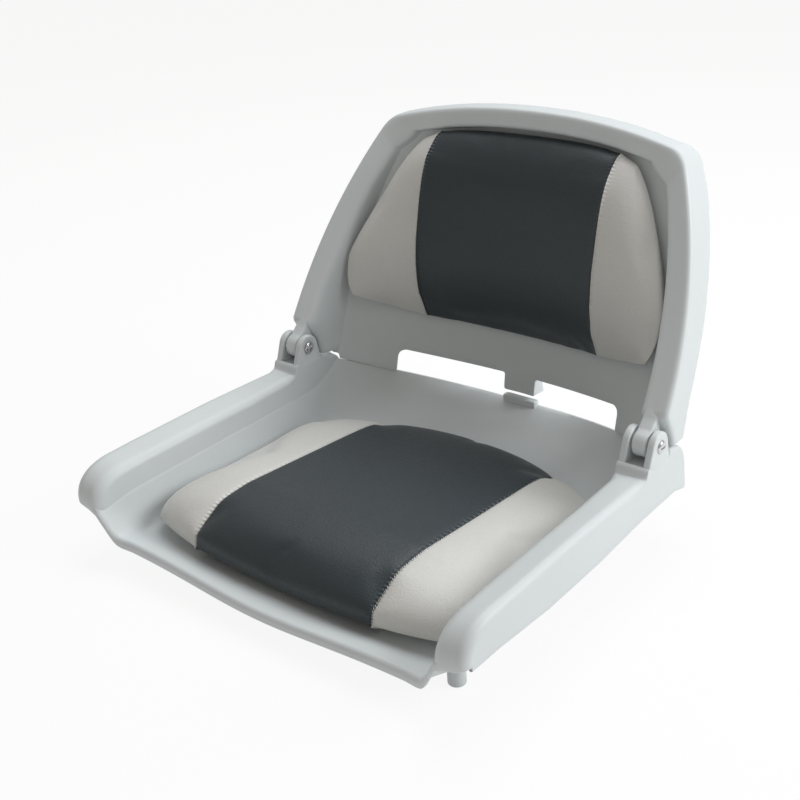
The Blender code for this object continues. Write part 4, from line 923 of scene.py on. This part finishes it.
def make_back_shell(settings, plastic):
    """The back's moulding: rim, panel, legs with their knuckles, and the stop tab."""
    parts = walled(band_surface(), -settings.wall)
    parts += walled(panel_surface(), -settings.wall)
    outline = leg_outline()
    for side in (-1.0, 1.0):
        low, high = (KNUCKLE if side > 0 else (-KNUCKLE[1], -KNUCKLE[0]))
        parts += slab(outline, low, high, 0.0024, (0, HINGE[1], HINGE[2]), ALONG_X)
    low_y, high_y = panel_y(0, TAB_LOW_Z), panel_y(0, NOTCH_Z + 0.008)
    tab = rounded_path([(low_y + 0.001, TAB_LOW_Z - 0.001), (low_y + 0.022, TAB_LOW_Z - 0.003),
                        (high_y + 0.011, NOTCH_Z + 0.008), (high_y + 0.001, NOTCH_Z + 0.008)],
                       [0.0015] * 4, 4, closed=True)
    parts += slab(resample(tab, 0.001, closed=True), -0.0204, 0.0204, 0.0008, (0, 0, 0), ALONG_X)
    return make_piece("back_moulding", parts, plastic, "back", ["back_shell"])


# Cushions

CLOTH_FRAMES = 20
CLOTH = {
    "vertex_group_mass": "held",
    "quality": 6,
    "mass": 0.25,
    "tension_stiffness": 35,
    "compression_stiffness": 35,
    "shear_stiffness": 12,
    "bending_stiffness": 2.0,
    "use_pressure": True,
    "uniform_pressure_force": 4.0,
}
STITCH_BALL = (0.00036, 0.00028)
STITCH_ASIDE = 0.0011
STITCH_LEAN = 0.28
LOW_SWELL = 0.22
SWELL_ROOM = (0.0016, 0.0045)
DRAWN_ROOM = (0.0004, 0.0)
FOAM_ROOM = 0.0085


def pillow(value, power, root):
    """Falls from 1 in the middle of a cushion to 0 at its edge."""
    return np.maximum(0, 1 - np.abs(value) ** power) ** root


def squeezed(place, edge, half):
    """Where a column lies at a height with half width edge: columns up to just past the seam keep
    their x, and the others share the room that is left."""
    beyond = np.maximum(0, np.abs(place) - STRAIGHT_X) * (edge - STRAIGHT_X) / (half - STRAIGHT_X)
    return np.sign(place) * (np.minimum(np.abs(place), STRAIGHT_X) + beyond)


def seat_pad(place, v, h, inset=0.0, sunk=0.0):
    """Seat cushion: place across, v along, h the share of the rim's height. The sides are drawn in
    below the rim, and above it a crown falls to zero at the edges and lower towards the rear."""
    drawn = 0.0105 * (1 - h) ** 1.5 + inset
    edge = (SEAT_CUSHION_HALF - drawn) * (1 - 0.06 * v ** 6)
    x = squeezed(place, edge, SEAT_CUSHION_HALF)
    a = np.abs(x / edge)
    front = -0.166 + 2.4 * (drawn - inset) + inset
    rear = 0.165 - 1.4 * x * x - drawn
    corner = np.where(v < 0, 0.16 * a ** 3.5, 0.06 * a ** 6)
    y = (front + rear) / 2 + (rear - front) / 2 * v * (1 - corner)
    height = 0.051 - 0.088 * np.maximum(0, y + 0.080) - sunk
    along = np.where(v < 0, pillow(v, 7, 0.5), pillow(v, 8, 0.5))
    crown = (height - 0.014) * pillow(a, 7, 0.5) * along
    z = SEAT_BASE_Z + (0.014 - 0.2 * sunk) * h + np.where(h >= 1, crown, 0)
    return np.stack([x, y, z], -1)


def back_pad(place, v, h, inset=0.0, sunk=0.0):
    """Back cushion: place across, v up the panel, h the share of the rim's height out from it."""
    drawn = 0.007 * (1 - h) ** 1.5 + inset
    taper = np.maximum(0, 0.2455 + 0.1125 * v - 0.187) / 0.160
    edge = (BACK_CUSHION_HALF - 0.056 * taper ** 1.3 - drawn) * (1 - 0.055 * v ** 6)
    x = squeezed(place, edge, BACK_CUSHION_HALF)
    a = np.abs(x / edge)
    rim = 0.008 + 0.013 * a ** 6 * (1 - v) / 2
    low = 0.1335 + 0.62 * x * x + drawn
    top = 0.359 - 0.15 * x * x - drawn
    z = (low + top) / 2 + (top - low) / 2 * v * (1 - 0.10 * a ** 6)
    swell = np.where(v < 0, pillow(v, 2, 0.75), pillow(v, 4, 0.5))
    crown = (0.043 - sunk - rim) * pillow(a, 8, 0.5) * swell * (1 - 0.05 * a * a)
    y = panel_y(x, z) - 0.0012 - (rim - 0.2 * sunk) * h - np.where(h >= 1, crown, 0)
    return np.stack([x, y, z], -1)


def cushion_columns(half):
    """Places of the columns from the middle to the side: even up to the seam, close together at it,
    and closing up again towards the edge."""
    inner = np.linspace(0, 0.111, 23)
    seam = SEAM_X + np.array([-0.0030, -0.0018, -0.0010, -0.0004, 0.0004, 0.0010, 0.0018, 0.0030])
    outer = SEAM_X + 0.005 + (half - SEAM_X - 0.005) * np.sin(np.linspace(0, math.pi / 2, 20))
    return np.concatenate([inner, seam, outer])


def cushion_body(pad, half, rows, inset, sunk):
    """A closed cushion: the crowned top, rings down the rim, and the flat underside, all from one
    function. Returns its vertices, faces, and the vertex numbers along each seam."""
    right = cushion_columns(half)
    a = np.concatenate([-right[:0:-1], right])
    v = np.sin(np.linspace(-math.pi / 2, math.pi / 2, rows))
    v = 0.5 * v + 0.5 * np.linspace(-1, 1, rows)
    grid_a, grid_v = np.meshgrid(a, v)
    top = pad(grid_a, grid_v, np.ones_like(grid_a), inset, sunk)
    bottom = pad(grid_a, grid_v, np.zeros_like(grid_a), inset, sunk)
    count = top.shape[0] * top.shape[1]
    index = np.arange(count).reshape(top.shape[:2])
    edge = np.concatenate([index[0, :-1], index[:-1, -1], index[-1, :0:-1], index[:0:-1, 0]])
    heights = np.array([0.86, 0.72, 0.57, 0.42, 0.27, 0.13, 0.04])[:, None]
    ring_a = np.broadcast_to(grid_a.ravel()[edge], (len(heights), len(edge)))
    ring_v = np.broadcast_to(grid_v.ravel()[edge], (len(heights), len(edge)))
    rings = pad(ring_a, ring_v, np.broadcast_to(heights, ring_a.shape), inset, sunk)
    ring_index = count + np.arange(rings.shape[0] * rings.shape[1]).reshape(rings.shape[:2])
    low_index = index + count + ring_index.size
    low_edge = low_index.ravel()[edge]
    around = np.concatenate([edge[None], ring_index, low_edge[None]])
    around = np.concatenate([around, around[:, :1]], 1)
    points = np.concatenate([top.reshape(-1, 3), rings.reshape(-1, 3), bottom.reshape(-1, 3)])
    faces = np.concatenate([grid_faces(index), grid_faces(around), grid_faces(low_index)])
    seams = []
    for target in (-SEAM_X, SEAM_X):
        column = int(np.argmin(np.abs(a - target)))
        first = int(np.argmin(np.abs(edge - index[0, column])))
        last = int(np.argmin(np.abs(edge - index[-1, column])))
        seams.append(np.concatenate([ring_index[4::-1, first], index[:, column],
                                     ring_index[:5, last]]))
    return points, faces, seams, np.concatenate([low_index.ravel(), ring_index[-2:].ravel()])


def puffed(name, points, faces, pinned, limit):
    """Blows the cushion up as cloth with its underside held, and returns where its vertices go;
    the move is held within limit, one value for each direction."""
    mesh = mesh_of(name, points, faces)
    cloth_piece = bpy.data.objects.new(name, mesh)
    bpy.context.scene.collection.objects.link(cloth_piece)
    group = cloth_piece.vertex_groups.new(name="held")
    group.add([int(i) for i in pinned], 1.0, "REPLACE")
    cloth = cloth_piece.modifiers.new("Puff", "CLOTH")
    for key, value in CLOTH.items():
        setattr(cloth.settings, key, value)
    cloth.settings.effector_weights.gravity = 0
    cloth.collision_settings.use_collision = False
    scene = bpy.context.scene
    for number in range(1, CLOTH_FRAMES + 1):
        scene.frame_set(number)
    evaluated = cloth_piece.evaluated_get(bpy.context.evaluated_depsgraph_get())
    moved = np.empty(len(points) * 3, np.float32)
    evaluated.to_mesh().vertices.foreach_get("co", moved)
    scene.frame_set(1)
    bpy.data.objects.remove(cloth_piece)
    bpy.data.meshes.remove(mesh)
    shift = moved.reshape(-1, 3) - points
    return points + limit * np.tanh(shift / limit)


def vertex_normals(points, faces):
    """Normals of the vertices of a closed mesh: the sum of the cross products of the diagonals of
    the faces that meet there."""
    a, b, c, d = (points[faces[:, i]] for i in range(4))
    cross = np.cross(c - a, d - b)
    total = np.zeros_like(points)
    for i in range(4):
        np.add.at(total, faces[:, i], cross)
    return unit(total)


def stitches(path, normal, settings, aside):
    """Thread ellipsoids along a path at equal pitch, each one a small grid on a ball stretched
    along the path, half sunk into the vinyl."""
    length = arc_length(path)
    at = np.arange(settings.stitch_pitch / 2, length[-1], settings.stitch_pitch)
    middle = picked(path, length, at)
    up = unit(picked(normal, length, at))
    run = unit(picked(path, length, at + 0.0004) - picked(path, length, at - 0.0004))
    cross = np.cross(up, run)
    turn = np.linspace(0, 2 * math.pi, 8, endpoint=False)
    slant = np.linspace(-math.pi / 2, math.pi / 2, 6)
    ball = np.stack([np.cos(slant)[:, None] * np.cos(turn), np.cos(slant)[:, None] * np.sin(turn),
                     np.sin(slant)[:, None] * np.ones_like(turn)], -1)
    ball = ball * np.array([*STITCH_BALL, settings.stitch_length / 2])
    lean = run + cross * STITCH_LEAN * aside
    shape = (ball[None, ..., :1] * cross[:, None, None] + ball[None, ..., 1:2] * up[:, None, None]
             + ball[None, ..., 2:] * unit(lean)[:, None, None])
    points = middle[:, None, None] + up[:, None, None] * 0.0001 + shape
    return [loops(one) for one in points]


def parted(bm, low, high):
    """Keeps what lies between two values of x and closes the cuts."""
    for at, normal in ((low, (-1, 0, 0)), (high, (1, 0, 0))):
        if abs(at) < HALF_WIDTH:
            every = list(bm.verts) + list(bm.edges) + list(bm.faces)
            cut = bmesh.ops.bisect_plane(bm, geom=every, dist=1e-7, plane_co=(at, 0, 0),
                                         plane_no=normal, clear_outer=True)["geom_cut"]
            rim = [edge for edge in cut if isinstance(edge, bmesh.types.BMEdge)]
            bmesh.ops.holes_fill(bm, edges=rim, sides=0)


def make_cushion(kind, pad, half, rows, limit, settings, finishes):
    """One sewn cushion: the closed body is puffed, the seams are drawn in, and it is parted at the
    seams into three closed panels with a row of stitches beside each seam."""
    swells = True
    inset, sunk = SWELL_ROOM if swells else DRAWN_ROOM
    points, faces, seams, pinned = cushion_body(pad, half, rows, inset, sunk)
    if swells:
        if kind == "seat":
            depth = points[:, 2] - SEAT_BASE_Z
        else:
            depth = panel_y(points[:, 0], points[:, 2]) - points[:, 1]
        share = (depth / depth.max()).clip(0, 1)[:, None]
        points = puffed(kind + "_puff", points, faces, pinned,
                        limit * (LOW_SWELL + (1 - LOW_SWELL) * share ** 1.5))
    out = vertex_normals(points, faces)
    if (out * (points - points.mean(0))).sum() < 0:
        out = -out
    beside = np.abs(points[:, 0]) - SEAM_X
    groove = np.exp(-(beside / 0.0014) ** 2) + 0.45 * np.exp(-(beside / 0.0060) ** 2)
    held = np.ones(len(points))
    held[pinned] = 0.0
    points = points - out * (settings.seam_depth * groove * held)[:, None]
    for part, low, high, slot in (
            ("left", -1.0, -SEAM_X - SEAM_GAP, "light_vinyl"),
            ("centre", -SEAM_X + SEAM_GAP, SEAM_X - SEAM_GAP, "dark_vinyl"),
            ("right", SEAM_X + SEAM_GAP, 1.0, "light_vinyl")):
        name = f"{kind}_cushion_{part}"
        mesh = mesh_of(name, points, faces, functools.partial(parted, low=low, high=high))
        piece = add_object(name, mesh, finishes[slot], kind, [f"{kind}_cover_{part}"], 50.0)
    threads = []
    for seam, side in zip(seams, (-1.0, 1.0)):
        path = points[seam] + np.array([side * STITCH_ASIDE, 0, 0])
        threads += stitches(path, out[seam], settings, side)
    make_piece(kind + "_stitching", threads, finishes["thread"], kind)
    core, core_faces, _, _ = cushion_body(pad, half, 30, FOAM_ROOM, FOAM_ROOM)
    make_piece(kind + "_foam_core", [(core, core_faces)], finishes["foam"], kind,
               [kind + "_foam"])


# Hardware

def driven_head(radius, height, slots, origin, axes):
    """A screw head: a square grid drawn onto a disc, domed, with driver slots sunk between columns
    that lie at their edges; a flat disc closes it below. slots are (half length, half width)."""
    across = slots[0][1] / radius
    step = 0.03
    knots = np.concatenate([np.linspace(-1, -across - step, 12), np.linspace(-across, across, 5),
                            np.linspace(across + step, 1, 12)])
    slots = [(min(half_length, radius * 0.90), half_width) for half_length, half_width in slots]
    a, b = np.meshgrid(knots, knots)
    x = a * np.sqrt(1 - b * b / 2)
    y = b * np.sqrt(1 - a * a / 2)
    distance = np.sqrt(x * x + y * y).clip(0, 1)
    dome = height * (1 - distance ** 2.6) ** 0.55 * 0.78 + height * 0.22
    sunk = np.zeros_like(dome)
    for half_length, half_width in slots:
        narrow = np.clip((half_width / radius + step - np.abs(b)) / step, 0, 1)
        ends = np.clip((half_length / radius + step - np.abs(a)) / step, 0, 1)
        sunk = np.maximum(sunk, narrow * ends)
        a, b = b, a
    top = dome * (1 - sunk) + np.minimum(dome, height * 0.34) * sunk
    x, y = x[..., None] * radius, y[..., None] * radius
    return [sheet(placed(origin, axes, x, y, level)) for level in (top[..., None], 0.0)]


def axes_along(direction):
    """Three axes of which the last one points along a direction."""
    turn = Vector(direction).to_track_quat("Z", "Y").to_matrix()
    return tuple(turn.col[i][:] for i in range(3))


def rim_below(radius, height):
    """Profile of a head's rounded side, from under its dome to its seat."""
    return [(0.0, height * 0.20), (radius * 0.98, height * 0.24), (radius, height * 0.14),
            (radius * 0.985, 0.0)]


def make_screw(name, node, body, size, slots, shank, at, direction, finish, steps=40):
    """A screw in place of a node: its head with slots, and the shank's profile below it."""
    axes = axes_along(direction)
    parts = driven_head(*size, slots, at, axes)
    parts += turned(rim_below(*size) + shank, at, axes, steps)
    make_piece(name, parts, finish, body, [node], 30)


def make_hinges(finishes):
    """Both hinge pins: a barrel with a slotted dome head outside, a cross-recess screw inside."""
    size = (HEAD_RADIUS, HEAD_HEIGHT)
    barrel = [(0.0040, 0.0), (0.0040, -0.0337), (0.0027, -0.0337), (0.0027, -0.0157), (0, -0.0142)]
    screw = [(0.0024, 0.0), (0.0024, -0.0141), (0.0, -0.0165)]
    for name, side in SIDES:
        make_screw("hinge_pin_" + name, "hinge_barrel_" + name, "seat", size,
                   ((0.0042, 0.00060),), barrel, (side * HALF_WIDTH, *HINGE[1:]), (side, 0, 0),
                   finishes["steel"])
        make_screw("hinge_cap_" + name, "hinge_screw_" + name, "seat", size,
                   ((0.0032, 0.00062),) * 2, screw, (side * ARM_INNER, *HINGE[1:]), (-side, 0, 0),
                   finishes["steel"])


def make_board_screws(finishes):
    """Cross-recess screws: four up into the seat's board and four forward into the back's."""
    places = []
    for row, end in ENDS:
        for name, side in SIDES:
            places.append((f"seat_screw_{row}_{name}", "seat",
                           (side * 0.120, end * 0.055, 0.0162), (0, 0, -1), 0.0115))
    for row, z in (("lower", 0.175), ("upper", 0.300)):
        for name, side in SIDES:
            x = side * 0.085
            step = 0.001
            slope_x = (panel_y(x + step, z) - panel_y(x - step, z)) / (2 * step)
            slope_z = (panel_y(x, z + step) - panel_y(x, z - step)) / (2 * step)
            inward = unit(np.array([slope_x, -1.0, slope_z]))
            at = np.array([x, panel_y(x, z), z]) - inward * 0.00395
            places.append((f"back_screw_{row}_{name}", "back", tuple(at), tuple(-inward), 0.0085))
    for node, body, at, direction, length in places:
        thread = [(0.0020 + (0.00028 if i % 2 else -0.0001), -0.0008 - i * THREAD_PITCH)
                  for i in range(int((length - 0.003) / THREAD_PITCH))]
        make_screw(node + "_fine", node, body, (SCREW_RADIUS, SCREW_HEIGHT),
                   ((0.0023, 0.00045),) * 2, [(0.0020, 0.0)] + thread + [(0.0, -length)],
                   at, direction, finishes["steel"], 24)


def make_inserts(finishes):
    """Four brass inserts with a threaded bore."""
    bore = [(0.0026 + (0.0003 if i % 2 else 0.0), 0.0006 + i * THREAD_PITCH) for i in range(20)]
    profile = [(0.0031, 0.0), *bore, (0.0026, 0.011), (0.0043, 0.011), (0.0045, 0.0106),
               (0.0045, 0.0003), (0.0042, 0.0), (0.0031, 0.0)]
    for row, end in ENDS:
        for name, side in SIDES:
            parts = turned(profile, (side * BOLT_HALF, end * BOLT_HALF, 0), ALONG_Z, 32)
            node = f"mount_insert_{row}_{name}"
            make_piece(node + "_fine", parts, finishes["brass"], "seat", [node], 30)


# Studio

def glowing_paper():
    """The floor's paper: matt where light falls on it, mostly glowing white where it is seen."""
    paper = bpy.data.materials.new("studio_paper")
    paper.use_nodes = True
    tree = paper.node_tree
    shader = tree.nodes["Principled BSDF"]
    shader.inputs["Base Color"].default_value = (0.88, 0.88, 0.88, 1)
    shader.inputs["Roughness"].default_value = 0.9
    rays = add_node(tree, "ShaderNodeLightPath").outputs
    value = rays["Is Camera Ray"]
    for operation, other in (("MAXIMUM", rays["Is Glossy Ray"]),
                             ("MAXIMUM", rays["Is Transmission Ray"]), ("MULTIPLY", 0.90)):
        value = add_node(tree, "ShaderNodeMath", [(0, value), (1, other)],
                         operation=operation).outputs[0]
    glow = add_node(tree, "ShaderNodeEmission")
    mix = add_node(tree, "ShaderNodeMixShader",
                   [(0, value), (1, shader.outputs[0]), (2, glow.outputs[0])])
    tree.links.new(mix.outputs[0], tree.nodes["Material Output"].inputs["Surface"])
    return paper


def make_room(strength):
    """An even light that a camera sees as plain white."""
    world = bpy.data.worlds.new("studio_room")
    bpy.context.scene.world = world
    world.use_nodes = True
    tree = world.node_tree
    room = tree.nodes["Background"]
    room.inputs["Color"].default_value = (1.0, 0.955, 0.90, 1)
    room.inputs["Strength"].default_value = strength
    white = add_node(tree, "ShaderNodeBackground", [("Color", (1, 1, 1, 1))])
    rays = add_node(tree, "ShaderNodeLightPath")
    mix = add_node(tree, "ShaderNodeMixShader", [
        (0, rays.outputs["Is Camera Ray"]), (1, room.outputs[0]), (2, white.outputs[0])])
    tree.links.new(mix.outputs[0], tree.nodes["World Output"].inputs["Surface"])


def make_camera():
    """The camera that was fitted to the photograph."""
    azimuth, elevation, roll = (math.radians(angle) for angle in CAMERA_ANGLES)
    level = math.cos(elevation)
    back = Vector((math.sin(azimuth) * level, -math.cos(azimuth) * level, math.sin(elevation)))
    right = Vector((math.cos(azimuth), math.sin(azimuth), 0))
    up = back.cross(right)
    side = right * math.cos(roll) + up * math.sin(roll)
    head = up * math.cos(roll) - right * math.sin(roll)
    eye = Vector(CAMERA_TARGET) + back * CAMERA_AWAY
    camera = bpy.data.objects.new("camera", bpy.data.cameras.new("camera"))
    camera.data.sensor_width = 36
    camera.data.lens = CAMERA_LENS
    camera.data.shift_x, camera.data.shift_y = CAMERA_SHIFT
    turn = Matrix((side, head, back)).transposed()
    camera.matrix_world = Matrix.Translation(eye) @ turn.to_4x4()
    bpy.context.scene.collection.objects.link(camera)
    bpy.context.scene.camera = camera


def make_studio(settings):
    """Floor, lamps, room light and the camera."""
    floor_x, floor_y = np.meshgrid(np.linspace(-14, 14, 9), np.linspace(-14, 14, 9))
    points, faces = sheet(np.stack([floor_x, floor_y, np.full_like(floor_x, -0.0005)], -1))
    mesh = bpy.data.meshes.new("studio_floor")
    mesh.from_pydata(points, [], faces)
    floor = bpy.data.objects.new("studio_floor", mesh)
    bpy.context.scene.collection.objects.link(floor)
    mesh.materials.append(glowing_paper())
    make_room(settings.world_strength)
    for name, power, size, place, colour in (
            ("studio_key", settings.key_power, 0.9, (1.7, 0.85, 1.15), (0.97, 0.99, 1.0)),
            ("studio_top", settings.top_power, 1.5, (-0.2, 0.9, 1.9), (0.93, 0.97, 1.0))):
        lamp = bpy.data.lights.new(name, "AREA")
        lamp.energy = power
        lamp.size = size
        lamp.color = colour
        shown = bpy.data.objects.new(name, lamp)
        shown.location = place
        aim = Vector((0, 0.05, 0.1)) - Vector(place)
        shown.rotation_euler = aim.to_track_quat("-Z", "Y").to_euler()
        bpy.context.scene.collection.objects.link(shown)
    make_camera()
    bpy.context.scene.view_settings.view_transform = "Standard"


# Add-on

FINISHES = {}


def settings_of(context):
    """The seat's settings in this scene."""
    return context.scene.boat_seat


class SEAT_OT_finishes(bpy.types.Operator):
    """Make the materials, and give them to the frame's nodes that stay in view"""
    bl_idname = "boat_seat.finishes"
    bl_label = "Make the finishes"

    def execute(self, context):
        settings = settings_of(context)
        FINISHES.update(
            shell=moulded_plastic("pale_moulded_plastic", settings.shell_colour),
            light_vinyl=marine_vinyl("light_marine_vinyl", settings.light_colour, 0.47),
            dark_vinyl=marine_vinyl("charcoal_marine_vinyl", settings.dark_colour, 0.44),
            thread=sewing_thread("light_bonded_thread", settings.thread_colour),
            foam=cut_foam("cut_foam", COLOUR["foam"]),
            board=plywood("exterior_plywood", COLOUR["board"]),
            steel=satin_metal("stainless_steel", COLOUR["steel"], 0.24),
            brass=satin_metal("turned_brass", COLOUR["brass"], 0.30),
            nylon=moulded_plastic("natural_nylon", COLOUR["nylon"], 0.50),
        )
        for row in frame["record"]["subparts"]:
            mesh = frame["nodes"][row["node"]].data
            mesh.materials.clear()
            mesh.materials.append(FINISHES[row["material_slot"]])
        return {"FINISHED"}


class SEAT_OT_seat_shell(bpy.types.Operator):
    """Make the seat's moulding with its arms, ears and underside"""
    bl_idname = "boat_seat.seat_shell"
    bl_label = "Make the seat shell"

    def execute(self, context):
        make_seat_shell(settings_of(context), FINISHES["shell"])
        return {"FINISHED"}


class SEAT_OT_back_shell(bpy.types.Operator):
    """Make the back's moulding with its wings, panel, legs and stop tab"""
    bl_idname = "boat_seat.back_shell"
    bl_label = "Make the back shell"

    def execute(self, context):
        make_back_shell(settings_of(context), FINISHES["shell"])
        return {"FINISHED"}


class SEAT_OT_cushions(bpy.types.Operator):
    """Make both sewn cushions with their stitching and foam"""
    bl_idname = "boat_seat.cushions"
    bl_label = "Make the cushions"

    def execute(self, context):
        settings = settings_of(context)
        out, aside = settings.swell_out, settings.swell_aside
        make_cushion("seat", seat_pad, SEAT_CUSHION_HALF, 72, np.array([aside, aside, out]),
                     settings, FINISHES)
        make_cushion("back", back_pad, BACK_CUSHION_HALF, 58, np.array([aside, out, aside]),
                     settings, FINISHES)
        return {"FINISHED"}


class SEAT_OT_hardware(bpy.types.Operator):
    """Make the hinge pins, the screws and the mounting inserts"""
    bl_idname = "boat_seat.hardware"
    bl_label = "Make the hardware"

    def execute(self, context):
        make_hinges(FINISHES)
        make_board_screws(FINISHES)
        make_inserts(FINISHES)
        return {"FINISHED"}


class SEAT_OT_studio(bpy.types.Operator):
    """Make the floor, the lamps, the room light and the camera"""
    bl_idname = "boat_seat.studio"
    bl_label = "Make the studio"

    def execute(self, context):
        make_studio(settings_of(context))
        return {"FINISHED"}


OPERATORS = (SEAT_OT_finishes, SEAT_OT_seat_shell, SEAT_OT_back_shell, SEAT_OT_cushions,
             SEAT_OT_hardware, SEAT_OT_studio)


class SEAT_PT_panel(bpy.types.Panel):
    """Lists the seat's settings and pieces in the sidebar"""
    bl_idname = "SEAT_PT_panel"
    bl_label = "Boat Seat"
    bl_space_type = "VIEW_3D"
    bl_region_type = "UI"
    bl_category = "Boat Seat"

    def draw(self, context):
        settings = settings_of(context)
        for name in SeatSettings.__annotations__:
            self.layout.prop(settings, name)
        for operator in OPERATORS:
            self.layout.operator(operator.bl_idname)


CLASSES = (SeatSettings, *OPERATORS, SEAT_PT_panel)


def register():
    """Register the classes and add the settings to the scene."""
    for one in CLASSES:
        bpy.utils.register_class(one)
    bpy.types.Scene.boat_seat = PointerProperty(type=SeatSettings)


def unregister():
    """Take the settings and the classes out again."""
    del bpy.types.Scene.boat_seat
    for one in reversed(CLASSES):
        bpy.utils.unregister_class(one)


def main():
    """Build the seat."""
    register()
    bpy.ops.boat_seat.finishes()
    bpy.ops.boat_seat.seat_shell()
    bpy.ops.boat_seat.back_shell()
    bpy.ops.boat_seat.cushions()
    bpy.ops.boat_seat.hardware()
    bpy.ops.boat_seat.studio()


if __name__ == "__main__":
    main()
